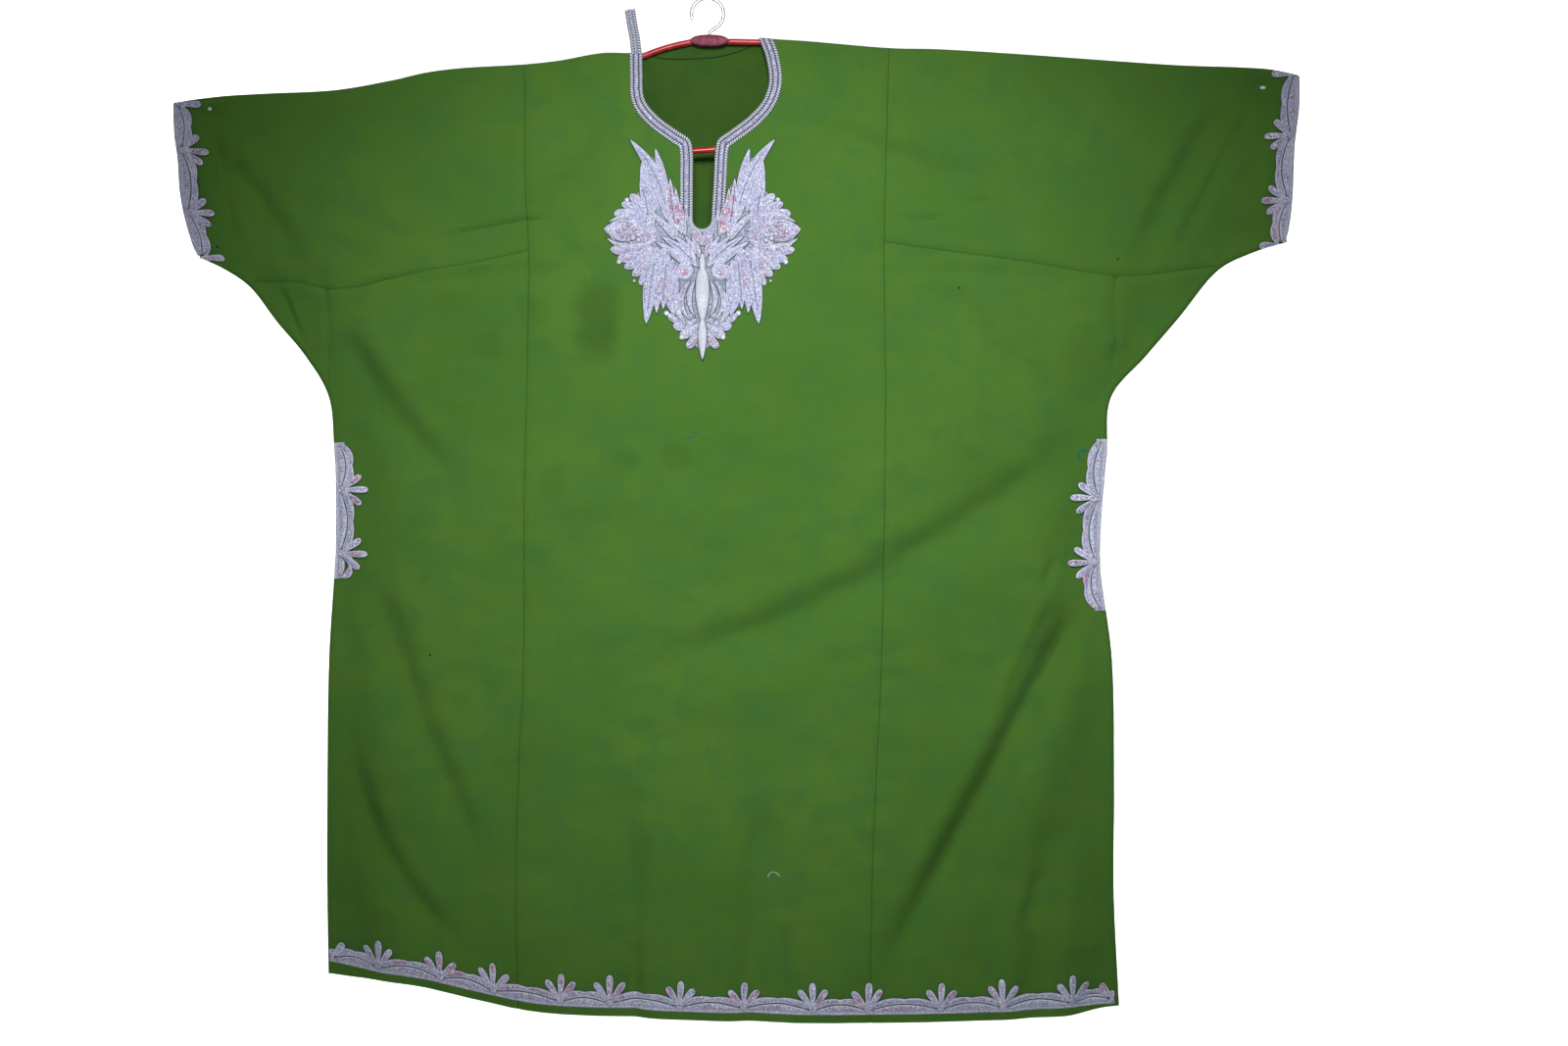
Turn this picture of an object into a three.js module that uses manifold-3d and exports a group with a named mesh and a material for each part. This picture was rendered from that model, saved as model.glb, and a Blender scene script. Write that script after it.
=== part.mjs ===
// A pheran, the long loose tunic of Kashmir, on a clothes hanger.
// Millimetres, +Z up, -Y to the front, the wearer's right at -X.
// The origin is the inside top of the hanger's hook, where a rail would carry it.
import * as THREE from 'three';
import { mergeVertices } from 'three/addons/utils/BufferGeometryUtils.js';
import Module from 'manifold-3d';

const wasm = await Module();
wasm.setup();

// ---- driving sizes ----

const CLOTH = 1.5;              // wall of the woollen cloth
const FOLD_RADIUS = 5.4;        // outside radius where the cloth turns from front to back
const SEAM_GAP = 0.3;           // between two pieces at a seam
const TRIM_LIFT = 0.3;          // between the cloth and what is sewn on it
const TRIM_WALL = 1.2;          // height of the metal-thread embroidery
const FLATNESS = 0.02;          // the most that a cut edge is smoothed
const SEAM_ANGLE = 3;           // degrees of the roll left open at an edge seam
const MAX_STRETCH = 1.35;       // the most that a steep wall is thickened along Y

const BODY_DEPTH = 24;          // half the thickness of the hanging body
const HEM_DEPTH = 33;           // the same at the hem
const CUFF_DEPTH = 14;          // the same at a cuff
const TOP_REACH = 130;          // how far below the shoulder the full depth is reached
const SIDE_REACH = 85;          // how far in from a side the full depth is reached
const FOLD_REACH = 55;          // how far in from an edge a hanging fold is at full depth
const FLARE = { from: 500, over: 650 };      // below the origin, where the body widens to the hem
const TAPER = { from: 330, over: 300 };      // out from the middle, where the sleeves thin
const FOLD_FADE = { start: 0.2, end: 0.33 }; // share of a fold's length that it takes to fade
const RIDGE = 0.9;              // how far a fold's two ridges stand up beside its trough

const SIDE_COLUMNS = 8;
const GUSSET_STEPS = 4;
const CUFF_STARTS = [0, 0.35, 0.7, 1];
const SLEEVE_ROWS = 5;
const YOKE_ROWS = 4;
const SKIRT_ROWS = 12;

const BRAID_WIDTH = 15;
const BACK_NECK = { left: -72.6, leftZ: -63.4, right: 57, rightZ: -47.8, top: 20 };
const OUTSIDE = 12;             // how far a cutting outline runs past the cloth's edge

const TUBE_RADIUS = 3.3;
const BOSS = { x: 2.2, y: -1.9, z: -46.2, width: 43, height: 13, depth: 10 };
const HOOK = { radius: 18, wire: 1.8, stemX: 2.2, stem: 2.5, fromAngle: -62, toAngle: 200 };

// ---- outline tables, a row for each station ----

// the fold along the top of both sleeves and the shoulders
const topRows = [
  { x: -604, z: -119 }, { x: -598, z: -115.5 }, { x: -549, z: -108.5 }, { x: -498, z: -105.2 },
  { x: -418, z: -101.2 }, { x: -354, z: -90.2 }, { x: -315, z: -81.4 }, { x: -276, z: -76.5 },
  { x: -209, z: -72.6 }, { x: -167, z: -68.2 }, { x: -119, z: -59.7 }, { x: -73, z: -58.2 },
  { x: -58, z: -47 }, { x: -14, z: -37 }, { x: 30, z: -36 }, { x: 45, z: -38.5 },
  { x: 57, z: -42.3 }, { x: 114, z: -46.5 }, { x: 203, z: -54 }, { x: 262, z: -55.5 },
  { x: 361, z: -61.6 }, { x: 445, z: -67.7 }, { x: 529, z: -73.3 }, { x: 627, z: -77.4 },
  { x: 664, z: -85 },
];

// the lower outline of each half, from the cuff's corner past the gusset and down to the hem
const lowerRows = {
  left: [
    { x: -570, z: -290, at: 'cuff' }, { x: -545, z: -301 }, { x: -514, z: -322, at: 'tip' },
    { x: -483, z: -362 }, { x: -452, z: -399 }, { x: -425.7, z: -444, at: 'side' },
    { x: -419.5, z: -500 }, { x: -418, z: -615 }, { x: -425, z: -740 }, { x: -427, z: -900 },
    { x: -427, z: -1000 }, { x: -425.5, z: -1092 },
  ],
  right: [
    { x: 650, z: -272, at: 'cuff' }, { x: 612, z: -284 }, { x: 574, z: -303, at: 'tip' },
    { x: 529, z: -357 }, { x: 492, z: -400 }, { x: 453, z: -446, at: 'side' },
    { x: 448.5, z: -510 }, { x: 441.5, z: -630 }, { x: 454, z: -740 }, { x: 456.5, z: -880 },
    { x: 456, z: -1000 }, { x: 462, z: -1128 },
  ],
};

// the open end of each sleeve
const cuffRows = {
  left: [
    { z: -300, x: -567 }, { z: -273, x: -577.5 }, { z: -225, x: -588.5 }, { z: -179, x: -593 },
    { z: -148, x: -597.5 }, { z: -110, x: -599 },
  ],
  right: [
    { z: -280, x: 648 }, { z: -240, x: 653.4 }, { z: -169, x: 657 }, { z: -120, x: 663 },
    { z: -80, x: 663.5 },
  ],
};

// the edge of the neck hole from the shoulder down into the slit
const neckRows = {
  left: [
    { x: -72.6, z: 20 }, { x: -72.6, z: -60 }, { x: -72.2, z: -84 }, { x: -69.9, z: -113 },
    { x: -55, z: -133 }, { x: -32, z: -150.5 }, { x: -18.7, z: -160 }, { x: -15.6, z: -174 },
    { x: -15.4, z: -204 }, { x: -15.6, z: -249 },
  ],
  right: [
    { x: 56, z: 20 }, { x: 57, z: -40 }, { x: 65.5, z: -66 }, { x: 68.8, z: -93.5 },
    { x: 62.7, z: -114 }, { x: 46.8, z: -133 }, { x: 24, z: -150.5 }, { x: 12, z: -160 },
    { x: 9, z: -174 }, { x: 7.3, z: -204.6 }, { x: 4.6, z: -249 },
  ],
};

// the seams on each side of the centre panels
const centreSeamRows = {
  left: [
    { z: -1140, x: -209.5 }, { z: -987, x: -212.3 }, { z: -847, x: -209 }, { z: -765, x: -204.6 },
    { z: -550, x: -203.5 }, { z: -304, x: -198.5 }, { z: -212, x: -202.4 }, { z: -60, x: -205.8 },
  ],
  right: [
    { z: -1150, x: 181.5 }, { z: -980, x: 184 }, { z: -880, x: 188.1 }, { z: -760, x: 193.6 },
    { z: -632, x: 196.9 }, { z: -440, x: 199 }, { z: -275, x: 197.5 }, { z: -50, x: 203.5 },
  ],
};

// the seam under each sleeve, from the centre panel outward to the gusset's tip
const sleeveSeamRows = {
  left: [
    { x: -514, z: -317 }, { x: -459, z: -317.5 }, { x: -425, z: -325 }, { x: -390, z: -323.4 },
    { x: -354, z: -314.6 }, { x: -310, z: -304.7 }, { x: -268, z: -297.7 }, { x: -198, z: -283 },
  ],
  right: [
    { x: 198, z: -274 }, { x: 280, z: -285 }, { x: 361, z: -296 }, { x: 456, z: -311 },
    { x: 517, z: -306 }, { x: 574, z: -298 },
  ],
};

const hemRows = [
  { x: -430, z: -1086 }, { x: -366, z: -1096 }, { x: -318, z: -1102 }, { x: -257, z: -1116 },
  { x: -192, z: -1130 }, { x: -112, z: -1135 }, { x: 41, z: -1141 }, { x: 196, z: -1142.5 },
  { x: 331, z: -1139 }, { x: 462, z: -1134 },
];

// where the centre panels' lines of points leave the shoulder
const shoulderX = [
  -206, -170, -132, -98, -74, -58, -14, 30, 45, 58, 74, 106, 138, 170, 203.5,
];

const sideCorner = { left: { x: -424.5 }, right: { x: 456 } };

// hanging folds: a trough runs from its start past its bend to its end
const frontFolds = [
  { startX: 443, startZ: -473, bendX: 150, bendZ: -715, endX: -134, endZ: -759, width: 28, depth: 10 },
  { startX: 416, startZ: -660, bendX: 346, bendZ: -828, endX: 163, endZ: -1150, width: 24, depth: 16 },
  { startX: -415, startZ: -363, bendX: -365, bendZ: -455, endX: -266, endZ: -566, width: 22, depth: 9 },
  { startX: -371, startZ: -638, bendX: -338, bendZ: -790, endX: -230, endZ: -1010, width: 24, depth: 10 },
  { startX: -411, startZ: -801, bendX: -385, bendZ: -965, endX: -250, endZ: -1085, width: 19, depth: 10 },
  { startX: -569, startZ: -155, bendX: -505, bendZ: -205, endX: -442, endZ: -318, width: 19, depth: 7 },
  { startX: 581, startZ: -115, bendX: 520, bendZ: -200, endX: 471, endZ: -320, width: 19, depth: 7 },
  { startX: -90, startZ: -150, bendX: -130, bendZ: -180, endX: -200, endZ: -270, width: 26, depth: 5 },
  { startX: 119, startZ: -140, bendX: 210, bendZ: -180, endX: 320, endZ: -215, width: 24, depth: 6 },
  { startX: -95, startZ: -860, bendX: -85, bendZ: -1000, endX: -80, endZ: -1260, width: 26, depth: 8 },
  { startX: 60, startZ: -900, bendX: 50, bendZ: -1020, endX: 45, endZ: -1260, width: 24, depth: 7 },
  { startX: 390, startZ: -900, bendX: 370, bendZ: -1000, endX: 350, endZ: -1260, width: 24, depth: 8 },
];
const backFolds = [
  { startX: -430, startZ: -470, bendX: -180, bendZ: -640, endX: 60, endZ: -700, width: 28, depth: 9 },
  { startX: -390, startZ: -690, bendX: -300, bendZ: -900, endX: -200, endZ: -1260, width: 25, depth: 12 },
  { startX: 410, startZ: -420, bendX: 350, bendZ: -560, endX: 230, endZ: -700, width: 25, depth: 9 },
  { startX: 390, startZ: -730, bendX: 330, bendZ: -930, endX: 260, endZ: -1260, width: 24, depth: 12 },
  { startX: 40, startZ: -800, bendX: 20, bendZ: -950, endX: 30, endZ: -1260, width: 28, depth: 9 },
  { startX: -560, startZ: -160, bendX: -500, bendZ: -210, endX: -440, endZ: -300, width: 20, depth: 6 },
  { startX: 590, startZ: -140, bendX: 530, bendZ: -210, endX: 470, endZ: -290, width: 20, depth: 6 },
];

// ---- embroidery tables ----

// leaves of the neck motif on one side of its middle: base, length, width and lean,
// across from the middle, down from the slit's end, lean 0 hangs down and 90 points outward
const LEAF_PARTS = [0.08, 0.42, 0.78];    // where a leaf's outline has its points
const PETAL_PARTS = [0.16, 0.62];
const MOTIF = { x: -5, z: -258.5 };
const motifLeaves = [
  { across: 51, down: -24, length: 80, width: 18, lean: 153, bend: -9 },
  { across: 57, down: -30, length: 50, width: 11, lean: 163, bend: 3 },
  { across: 47, down: -26, length: 51, width: 12, lean: 174, bend: -4 },
  { across: 45, down: -8, length: 52, width: 12, lean: 188, bend: 2 },
  { across: 34, down: 9, length: 56, width: 11, lean: 180, bend: 2 },
  { across: 26, down: 9, length: 41, width: 10, lean: 175, bend: 1 },
  { across: 67, down: 0, length: 50, width: 13, lean: 174, bend: -3 },
  { across: 73, down: -2, length: 38, width: 11, lean: 164, bend: -3 },
  { across: 14, down: 24, length: 68, width: 17, lean: 124, bend: 5 },
  { across: 50, down: 11, length: 62, width: 40, lean: 95, bend: -2 },
  { across: 66, down: -4, length: 37, width: 11, lean: 107, bend: 3 },
  { across: 62, down: 20, length: 42, width: 14, lean: 84, bend: -4 },
  { across: 75, down: 18, length: 40, width: 15, lean: 1, bend: 4 },
  { across: 65, down: 20, length: 45, width: 14, lean: -4, bend: 3 },
  { across: 46, down: 14, length: 88, width: 19, lean: 6, bend: 4 },
  { across: 53, down: 24, length: 60, width: 13, lean: 6, bend: 2 },
  { across: 33, down: 20, length: 75, width: 26, lean: 6, bend: 3 },
  { across: 3, down: 84, length: 31, width: 18, lean: 60, bend: -3 },
  { across: 2, down: 98, length: 26, width: 15, lean: 62, bend: -3 },
  { across: 1, down: 106, length: 31, width: 14, lean: 21, bend: 2 },
];
const motifMiddle = [
  { across: 0, down: 4, length: 112, width: 66, lean: 0, bend: 0 },
  { across: 0, down: 40, length: 108, width: 15, lean: 0, bend: 0 },
];

const FLOWER = { petal: 24, side: 20, width: 11, spread: 42, root: 4 };
const HEM_BAND = { low: 8, high: 30, fromX: -470, toX: 500, parts: 24 };
const hemFlowerX = [-421, -366, -296, -237, -163, -108, -30, 41, 118, 179, 260, 329, 408];
const CUFF_BAND = { width: 20, top: -60, bottom: -320, parts: 6 };
const cuffFlowerZ = { left: [-124, -174, -240, -286], right: [-94, -153, -226, -270] };
const POCKET_BAND = { width: 17, flowerFoot: 12, pointed: 0.17, rounded: 0.1, parts: 6 };
const pocketRows = {
  left: { top: -497, bottom: -650, flowers: [-550, -621], slitTop: -505, slitBottom: -640 },
  right: { top: -493, bottom: -686, flowers: [-559, -631], slitTop: -505, slitBottom: -668 },
};
const POCKET_GAPE = 4.5;        // half the width of a hand slit at its middle

// the hanger's tube, from one end in the boss round to the other
const hangerRows = [
  { x: -20.5, z: -46.6 }, { x: -45, z: -53.5 }, { x: -73, z: -63.6 }, { x: -120, z: -84 },
  { x: -170, z: -110 }, { x: -200, z: -131 }, { x: -211, z: -153 }, { x: -203, z: -175 },
  { x: -180, z: -182 }, { x: -100, z: -176 }, { x: 0, z: -168.5 }, { x: 100, z: -161 },
  { x: 180, z: -155 }, { x: 204, z: -147 }, { x: 210, z: -124 }, { x: 198, z: -104 },
  { x: 160, z: -80 }, { x: 110, z: -58 }, { x: 71, z: -48.9 }, { x: 45, z: -47.3 },
  { x: 25, z: -47 },
];

// ---- small helpers ----

const mix = (a, b, t) => a + (b - a) * t;
const mixPoint = (a, b, t) => ({ x: mix(a.x, b.x, t), z: mix(a.z, b.z, t) });
const ramp = (t) => THREE.MathUtils.smoothstep(t, 0, 1);
const steps = (count) => Array.from({ length: count + 1 }, (unused, index) => index / count);
const shift = (point, dx, dz) => ({ ...point, x: point.x + dx, z: point.z + dz });

// smooth value through a table whose rows rise in the column `at`
function through(rows, at, value) {
  const last = rows.length - 1;
  const slope = (index) => {
    const before = rows[Math.max(index - 1, 0)];
    const after = rows[Math.min(index + 1, last)];
    return (after[value] - before[value]) / (after[at] - before[at]);
  };
  return (position) => {
    let low = 0;
    while (low < last - 1 && position > rows[low + 1][at]) low += 1;
    const from = rows[low];
    const to = rows[low + 1];
    const span = to[at] - from[at];
    const t = THREE.MathUtils.clamp((position - from[at]) / span, 0, 1);
    const cube = t * t * t;
    const square = t * t;
    return (2 * cube - 3 * square + 1) * from[value]
      + (cube - 2 * square + t) * span * slope(low)
      + (3 * square - 2 * cube) * to[value]
      + (cube - square) * span * slope(low + 1);
  };
}

const topZ = through(topRows, 'x', 'z');
const hemZ = through(hemRows, 'x', 'z');

function nearest(samples, x, z) {
  let best = Infinity;
  let place = 0;
  samples.forEach((sample, index) => {
    const distance = Math.hypot(sample.x - x, sample.z - z);
    if (distance < best) {
      best = distance;
      place = index / (samples.length - 1);
    }
  });
  return { distance: best, place };
}

// ---- each half of the outline ----

function makeHalf(name) {
  const sign = name === 'left' ? -1 : 1;
  const rows = lowerRows[name];
  const curve = new THREE.CatmullRomCurve3(rows.map((row) => new THREE.Vector3(row.x, 0, row.z)));
  const placeOf = (mark) => rows.findIndex((row) => row.at === mark) / (rows.length - 1);
  const edge = (place) => {
    const point = curve.getPoint(place);
    const tangent = curve.getTangent(place);
    return {
      x: point.x, z: point.z, inX: sign * tangent.z, inZ: -sign * tangent.x,
    };
  };
  const placeAtHeight = (z) => {
    let high = placeOf('side');
    let low = 1;
    for (let pass = 0; pass < 30; pass += 1) {
      const middle = (high + low) / 2;
      if (curve.getPoint(middle).z > z) high = middle;
      else low = middle;
    }
    return (high + low) / 2;
  };
  const samples = curve.getPoints(160).map((point) => ({ x: point.x, z: point.z }));
  return {
    name, sign, edge, placeOf, placeAtHeight, samples,
    cuffX: through(cuffRows[name], 'z', 'x'),
    centreSeamX: through(centreSeamRows[name], 'z', 'x'),
    sleeveSeamZ: through(sleeveSeamRows[name], 'x', 'z'),
  };
}

const halves = { left: makeHalf('left'), right: makeHalf('right') };

// the point of an edge roll at an angle, 0 on the outline and 90 where the flat face begins
function rollPoint(edgePoint, angle) {
  const inward = FOLD_RADIUS * (1 - Math.cos(THREE.MathUtils.degToRad(angle)));
  return {
    x: edgePoint.x + edgePoint.inX * inward,
    z: edgePoint.z + edgePoint.inZ * inward,
    inX: edgePoint.inX, inZ: edgePoint.inZ, angle,
  };
}

const topEdge = (x) => ({ x, z: topZ(x), inX: 0, inZ: -1 });

// ---- how deep the hanging cloth stands from the middle plane ----

function foldSamples(row) {
  const curve = new THREE.QuadraticBezierCurve(
    new THREE.Vector2(row.startX, row.startZ),
    new THREE.Vector2(row.bendX, row.bendZ),
    new THREE.Vector2(row.endX, row.endZ),
  );
  return curve.getPoints(36).map((point) => ({ x: point.x, z: point.y }));
}

const folds = [
  { side: -1, rows: frontFolds },
  { side: 1, rows: backFolds },
].flatMap(({ side, rows }) => rows.map((row) => ({ ...row, side, samples: foldSamples(row) })));

// a trough with a low ridge on each side, fading at its ends
function troughDepth(fold, x, z) {
  const { distance, place } = nearest(fold.samples, x, z);
  const across = distance / fold.width;
  const fade = ramp(place / FOLD_FADE.start) * ramp((1 - place) / FOLD_FADE.end);
  return fold.depth * fade * (1 - RIDGE * across * across) * Math.exp(-across * across);
}

function halfDepth(side, x, z) {
  const fromTop = Math.max(topZ(x) - z, 0);
  const fromSides = Math.min(
    nearest(halves.left.samples, x, z).distance,
    nearest(halves.right.samples, x, z).distance,
  );
  const body = mix(BODY_DEPTH, HEM_DEPTH, ramp((-z - FLARE.from) / FLARE.over));
  const full = mix(body, CUFF_DEPTH, ramp((Math.abs(x) - TAPER.from) / TAPER.over));
  const swell = (full - FOLD_RADIUS) * ramp(fromTop / TOP_REACH) * ramp(fromSides / SIDE_REACH);
  const fade = ramp((Math.min(fromTop, fromSides) - FOLD_RADIUS) / FOLD_REACH);
  const troughs = folds
    .filter((fold) => fold.side === side)
    .reduce((sum, fold) => sum + troughDepth(fold, x, z), 0);
  return FOLD_RADIUS + swell - troughs * fade;
}

function steepness(side, x, z) {
  const step = 2;
  const alongX = (halfDepth(side, x + step, z) - halfDepth(side, x - step, z)) / (2 * step);
  const alongZ = (halfDepth(side, x, z + step) - halfDepth(side, x, z - step)) / (2 * step);
  return Math.min(Math.hypot(1, alongX, alongZ), MAX_STRETCH);
}

// where a cloth point lies, lifted off the outer surface by `lift`
function place(point, lift) {
  if (point.angle !== undefined) {
    const turn = THREE.MathUtils.degToRad(point.angle);
    const outward = (FOLD_RADIUS + lift) * Math.cos(turn) - FOLD_RADIUS * Math.cos(turn);
    return [
      point.x - point.inX * outward,
      point.side * (FOLD_RADIUS + lift) * Math.sin(turn),
      point.z - point.inZ * outward,
    ];
  }
  if (point.depth === undefined) {
    point.depth = halfDepth(point.side, point.x, point.z);
    point.stretch = steepness(point.side, point.x, point.z);
  }
  return [point.x, point.side * (point.depth + lift * point.stretch), point.z];
}

// ---- walls from cells ----

// rows of points joined into cells; a missing point leaves its cells out
function cellsBetween(rows) {
  const cells = [];
  for (let row = 0; row < rows.length - 1; row += 1) {
    for (let column = 0; column < rows[row].length - 1; column += 1) {
      const corners = [
        rows[row][column], rows[row][column + 1], rows[row + 1][column + 1], rows[row + 1][column],
      ];
      if (corners.every(Boolean)) {
        cells.push([corners[0], corners[1], corners[2]], [corners[0], corners[2], corners[3]]);
      }
    }
  }
  return cells;
}

// a closed wall between two lifts of the same cells
function wallGeometry(cells, lowLift, highLift) {
  const indexOf = new Map();
  const points = [];
  cells.flat().forEach((point) => {
    if (!indexOf.has(point)) {
      indexOf.set(point, points.length);
      points.push(point);
    }
  });
  const positions = [highLift, lowLift].flatMap((lift) => points.flatMap((point) => place(point, lift)));
  const count = points.length;
  const triangles = [];
  const edges = new Map();
  cells.forEach((cell) => {
    const [a, b, c] = cell.map((point) => indexOf.get(point));
    triangles.push([a, b, c], [c + count, b + count, a + count]);
    [[a, b], [b, c], [c, a]].forEach(([from, to]) => {
      if (edges.has(`${to}_${from}`)) edges.delete(`${to}_${from}`);
      else edges.set(`${from}_${to}`, [from, to]);
    });
  });
  edges.forEach(([from, to]) => {
    triangles.push([to, from, from + count], [to, from + count, to + count]);
  });
  return facingOut(positions, triangles);
}

function facingOut(positions, triangles) {
  const corner = (index) => new THREE.Vector3().fromArray(positions, index * 3);
  const volume = triangles.reduce((sum, [a, b, c]) => (
    sum + corner(a).dot(corner(b).cross(corner(c)))
  ), 0);
  const ordered = volume > 0 ? triangles : triangles.map(([a, b, c]) => [a, c, b]);
  const geometry = new THREE.BufferGeometry();
  geometry.setAttribute('position', new THREE.Float32BufferAttribute(positions, 3));
  geometry.setIndex(ordered.flat());
  return geometry;
}

// ---- solids that are cut or joined ----

function toSolid(geometry) {
  const plain = geometry.clone();
  ['normal', 'uv'].forEach((name) => plain.deleteAttribute(name));
  const merged = mergeVertices(plain, 1e-4);
  return new wasm.Manifold(new wasm.Mesh({
    numProp: 3,
    vertProperties: new Float32Array(merged.attributes.position.array),
    triVerts: new Uint32Array(merged.index.array),
  }));
}

function toGeometry(solid) {
  const mesh = solid.getMesh();
  const geometry = new THREE.BufferGeometry();
  geometry.setAttribute('position', new THREE.Float32BufferAttribute(mesh.vertProperties, 3));
  geometry.setIndex(Array.from(mesh.triVerts));
  return geometry;
}

// an outline in X and Z run through from one Y to another
function prism(outline, fromY, toY) {
  const shape = new THREE.Shape(outline.map((point) => new THREE.Vector2(point.x, point.z)));
  const geometry = new THREE.ExtrudeGeometry(shape, { depth: toY - fromY, bevelEnabled: false });
  geometry.rotateX(Math.PI / 2);
  geometry.translate(0, toY, 0);
  return toSolid(geometry);
}

const joined = (solids) => solids.reduce((sum, solid) => sum.add(solid));

// embroidery over some cells, kept only inside an outline solid
const embroidery = (cells, inside) => (
  toSolid(wallGeometry(cells, TRIM_LIFT, TRIM_LIFT + TRIM_WALL)).intersect(inside).simplify(FLATNESS)
);

// ---- patches of points ----

// a grid of points inside four boundary lines
function patch(top, bottom, inner, outer) {
  const columns = top.length - 1;
  const rows = inner.length - 1;
  const blend = (key, column, row) => {
    const u = column / columns;
    const v = row / rows;
    const across = mix(inner[row][key], outer[row][key], u);
    const down = mix(top[column][key], bottom[column][key], v);
    const corners = mix(
      mix(top[0][key], top[columns][key], u),
      mix(bottom[0][key], bottom[columns][key], u),
      v,
    );
    return across + down - corners;
  };
  return inner.map((unusedPoint, row) => top.map((unused, column) => {
    if (row === 0) return top[column];
    if (row === rows) return bottom[column];
    if (column === 0) return inner[row];
    if (column === columns) return outer[row];
    return { x: blend('x', column, row), z: blend('z', column, row) };
  }));
}

const faceTop = (x) => rollPoint(topEdge(x), 90);
const seamFoot = (half) => ({ x: half.centreSeamX(-280), z: half.sleeveSeamZ(half.centreSeamX(-280)) });
const seamHead = (half) => {
  const x = half.centreSeamX(-65);
  return { x, z: topZ(x) - FOLD_RADIUS };
};
const cornerPoint = (half) => {
  const { x } = sideCorner[half.name];
  return { x, z: half.sleeveSeamZ(x) };
};
const edgeFace = (half, where) => {
  const { x, z } = rollPoint(half.edge(where), 90);
  return { x, z };
};
const tipPoint = (half) => edgeFace(half, half.placeOf('tip'));
const sidePoint = (half) => edgeFace(half, half.placeOf('side'));

// heights of the body's rows where a vertical line starts at `startZ` and ends at the hem
function bodyHeights(startZ, joinZ, endZ) {
  const yoke = steps(YOKE_ROWS).map((t) => mix(startZ, joinZ, t));
  const skirt = steps(SKIRT_ROWS).slice(1).map((t) => mix(joinZ, endZ, t));
  return [...yoke, ...skirt];
}

// ---- sleeves ----

function sleeveFace(half) {
  const upper = steps(SLEEVE_ROWS);
  const head = seamHead(half);
  const foot = seamFoot(half);
  const inner = upper.map((t) => {
    const z = mix(head.z, foot.z, t);
    return { x: half.centreSeamX(z), z };
  });
  const corner = cornerPoint(half);
  const tip = tipPoint(half);
  const lineDown = (bottom) => {
    const top = faceTop(bottom.x);
    return upper.map((t) => mixPoint(top, bottom, t));
  };
  const cornerLine = lineDown(corner);
  const tipLine = lineDown(tip);
  const cuffEnd = edgeFace(half, 0);
  const cuffTopX = half.cuffX(topZ(half.sign * 600));
  const cuffLine = upper.map((t) => {
    const z = mix(topZ(cuffTopX) - FOLD_RADIUS, cuffEnd.z, t);
    return { x: t === 1 ? cuffEnd.x : half.cuffX(z), z };
  });
  const topBetween = (from, to, parts) => parts.map((t) => {
    const { x, z } = faceTop(mix(from.x, to.x, t));
    return { x, z };
  });
  const seamBetween = (from, to, parts) => parts.map((t, index) => {
    if (index === parts.length - 1) return { x: to.x, z: to.z };
    const x = mix(from.x, to.x, t);
    return { x, z: half.sleeveSeamZ(x) };
  });
  const underBetween = CUFF_STARTS.map((t) => edgeFace(half, mix(half.placeOf('tip'), 0, t)));
  const patches = [
    patch(topBetween(inner[0], corner, steps(SIDE_COLUMNS)),
      seamBetween(foot, corner, steps(SIDE_COLUMNS)), inner, cornerLine),
    patch(topBetween(corner, tip, steps(GUSSET_STEPS)),
      seamBetween(corner, tip, steps(GUSSET_STEPS)), cornerLine, tipLine),
    patch(topBetween(tip, { x: cuffTopX }, CUFF_STARTS), underBetween, tipLine, cuffLine),
  ];
  return upper.map((unused, row) => patches.flatMap((grid, index) => (
    index === 0 ? grid[row] : grid[row].slice(1)
  )));
}

// the sleeve's cells, going round from under the arm in front, over the top, to the back
function sleeveCells(half) {
  const face = sleeveFace(half);
  const gap = SEAM_GAP / 2;
  const tipColumn = SIDE_COLUMNS + GUSSET_STEPS;
  const placed = face.map((row, rowIndex) => row.map((point, column) => {
    const atSeam = rowIndex === face.length - 1 && column <= tipColumn;
    const dx = column === 0 || (atSeam && column === tipColumn) ? half.sign * gap : 0;
    return shift(point, dx, atSeam ? gap : 0);
  }));
  const onSide = (rows, side) => rows.map((row) => row.map((point) => point && { ...point, side }));
  const topRoll = (angle) => placed[0].map((point) => rollPoint(topEdge(point.x), angle));
  const underRoll = (angle) => placed[0].map((unused, column) => {
    if (column < tipColumn) return undefined;
    const along = CUFF_STARTS[column - tipColumn];
    const point = rollPoint(half.edge(mix(half.placeOf('tip'), 0, along)), angle);
    return column === tipColumn ? shift(point, half.sign * gap, gap) : point;
  });
  const front = onSide([underRoll(SEAM_ANGLE), underRoll(45), ...placed.slice().reverse(), topRoll(45)], -1);
  const ridge = onSide([topRoll(0)], 1);
  const back = onSide([topRoll(45), ...placed, underRoll(45), underRoll(SEAM_ANGLE)], 1);
  return cellsBetween([...front, ...ridge, ...back]);
}

// ---- body panels ----

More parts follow.
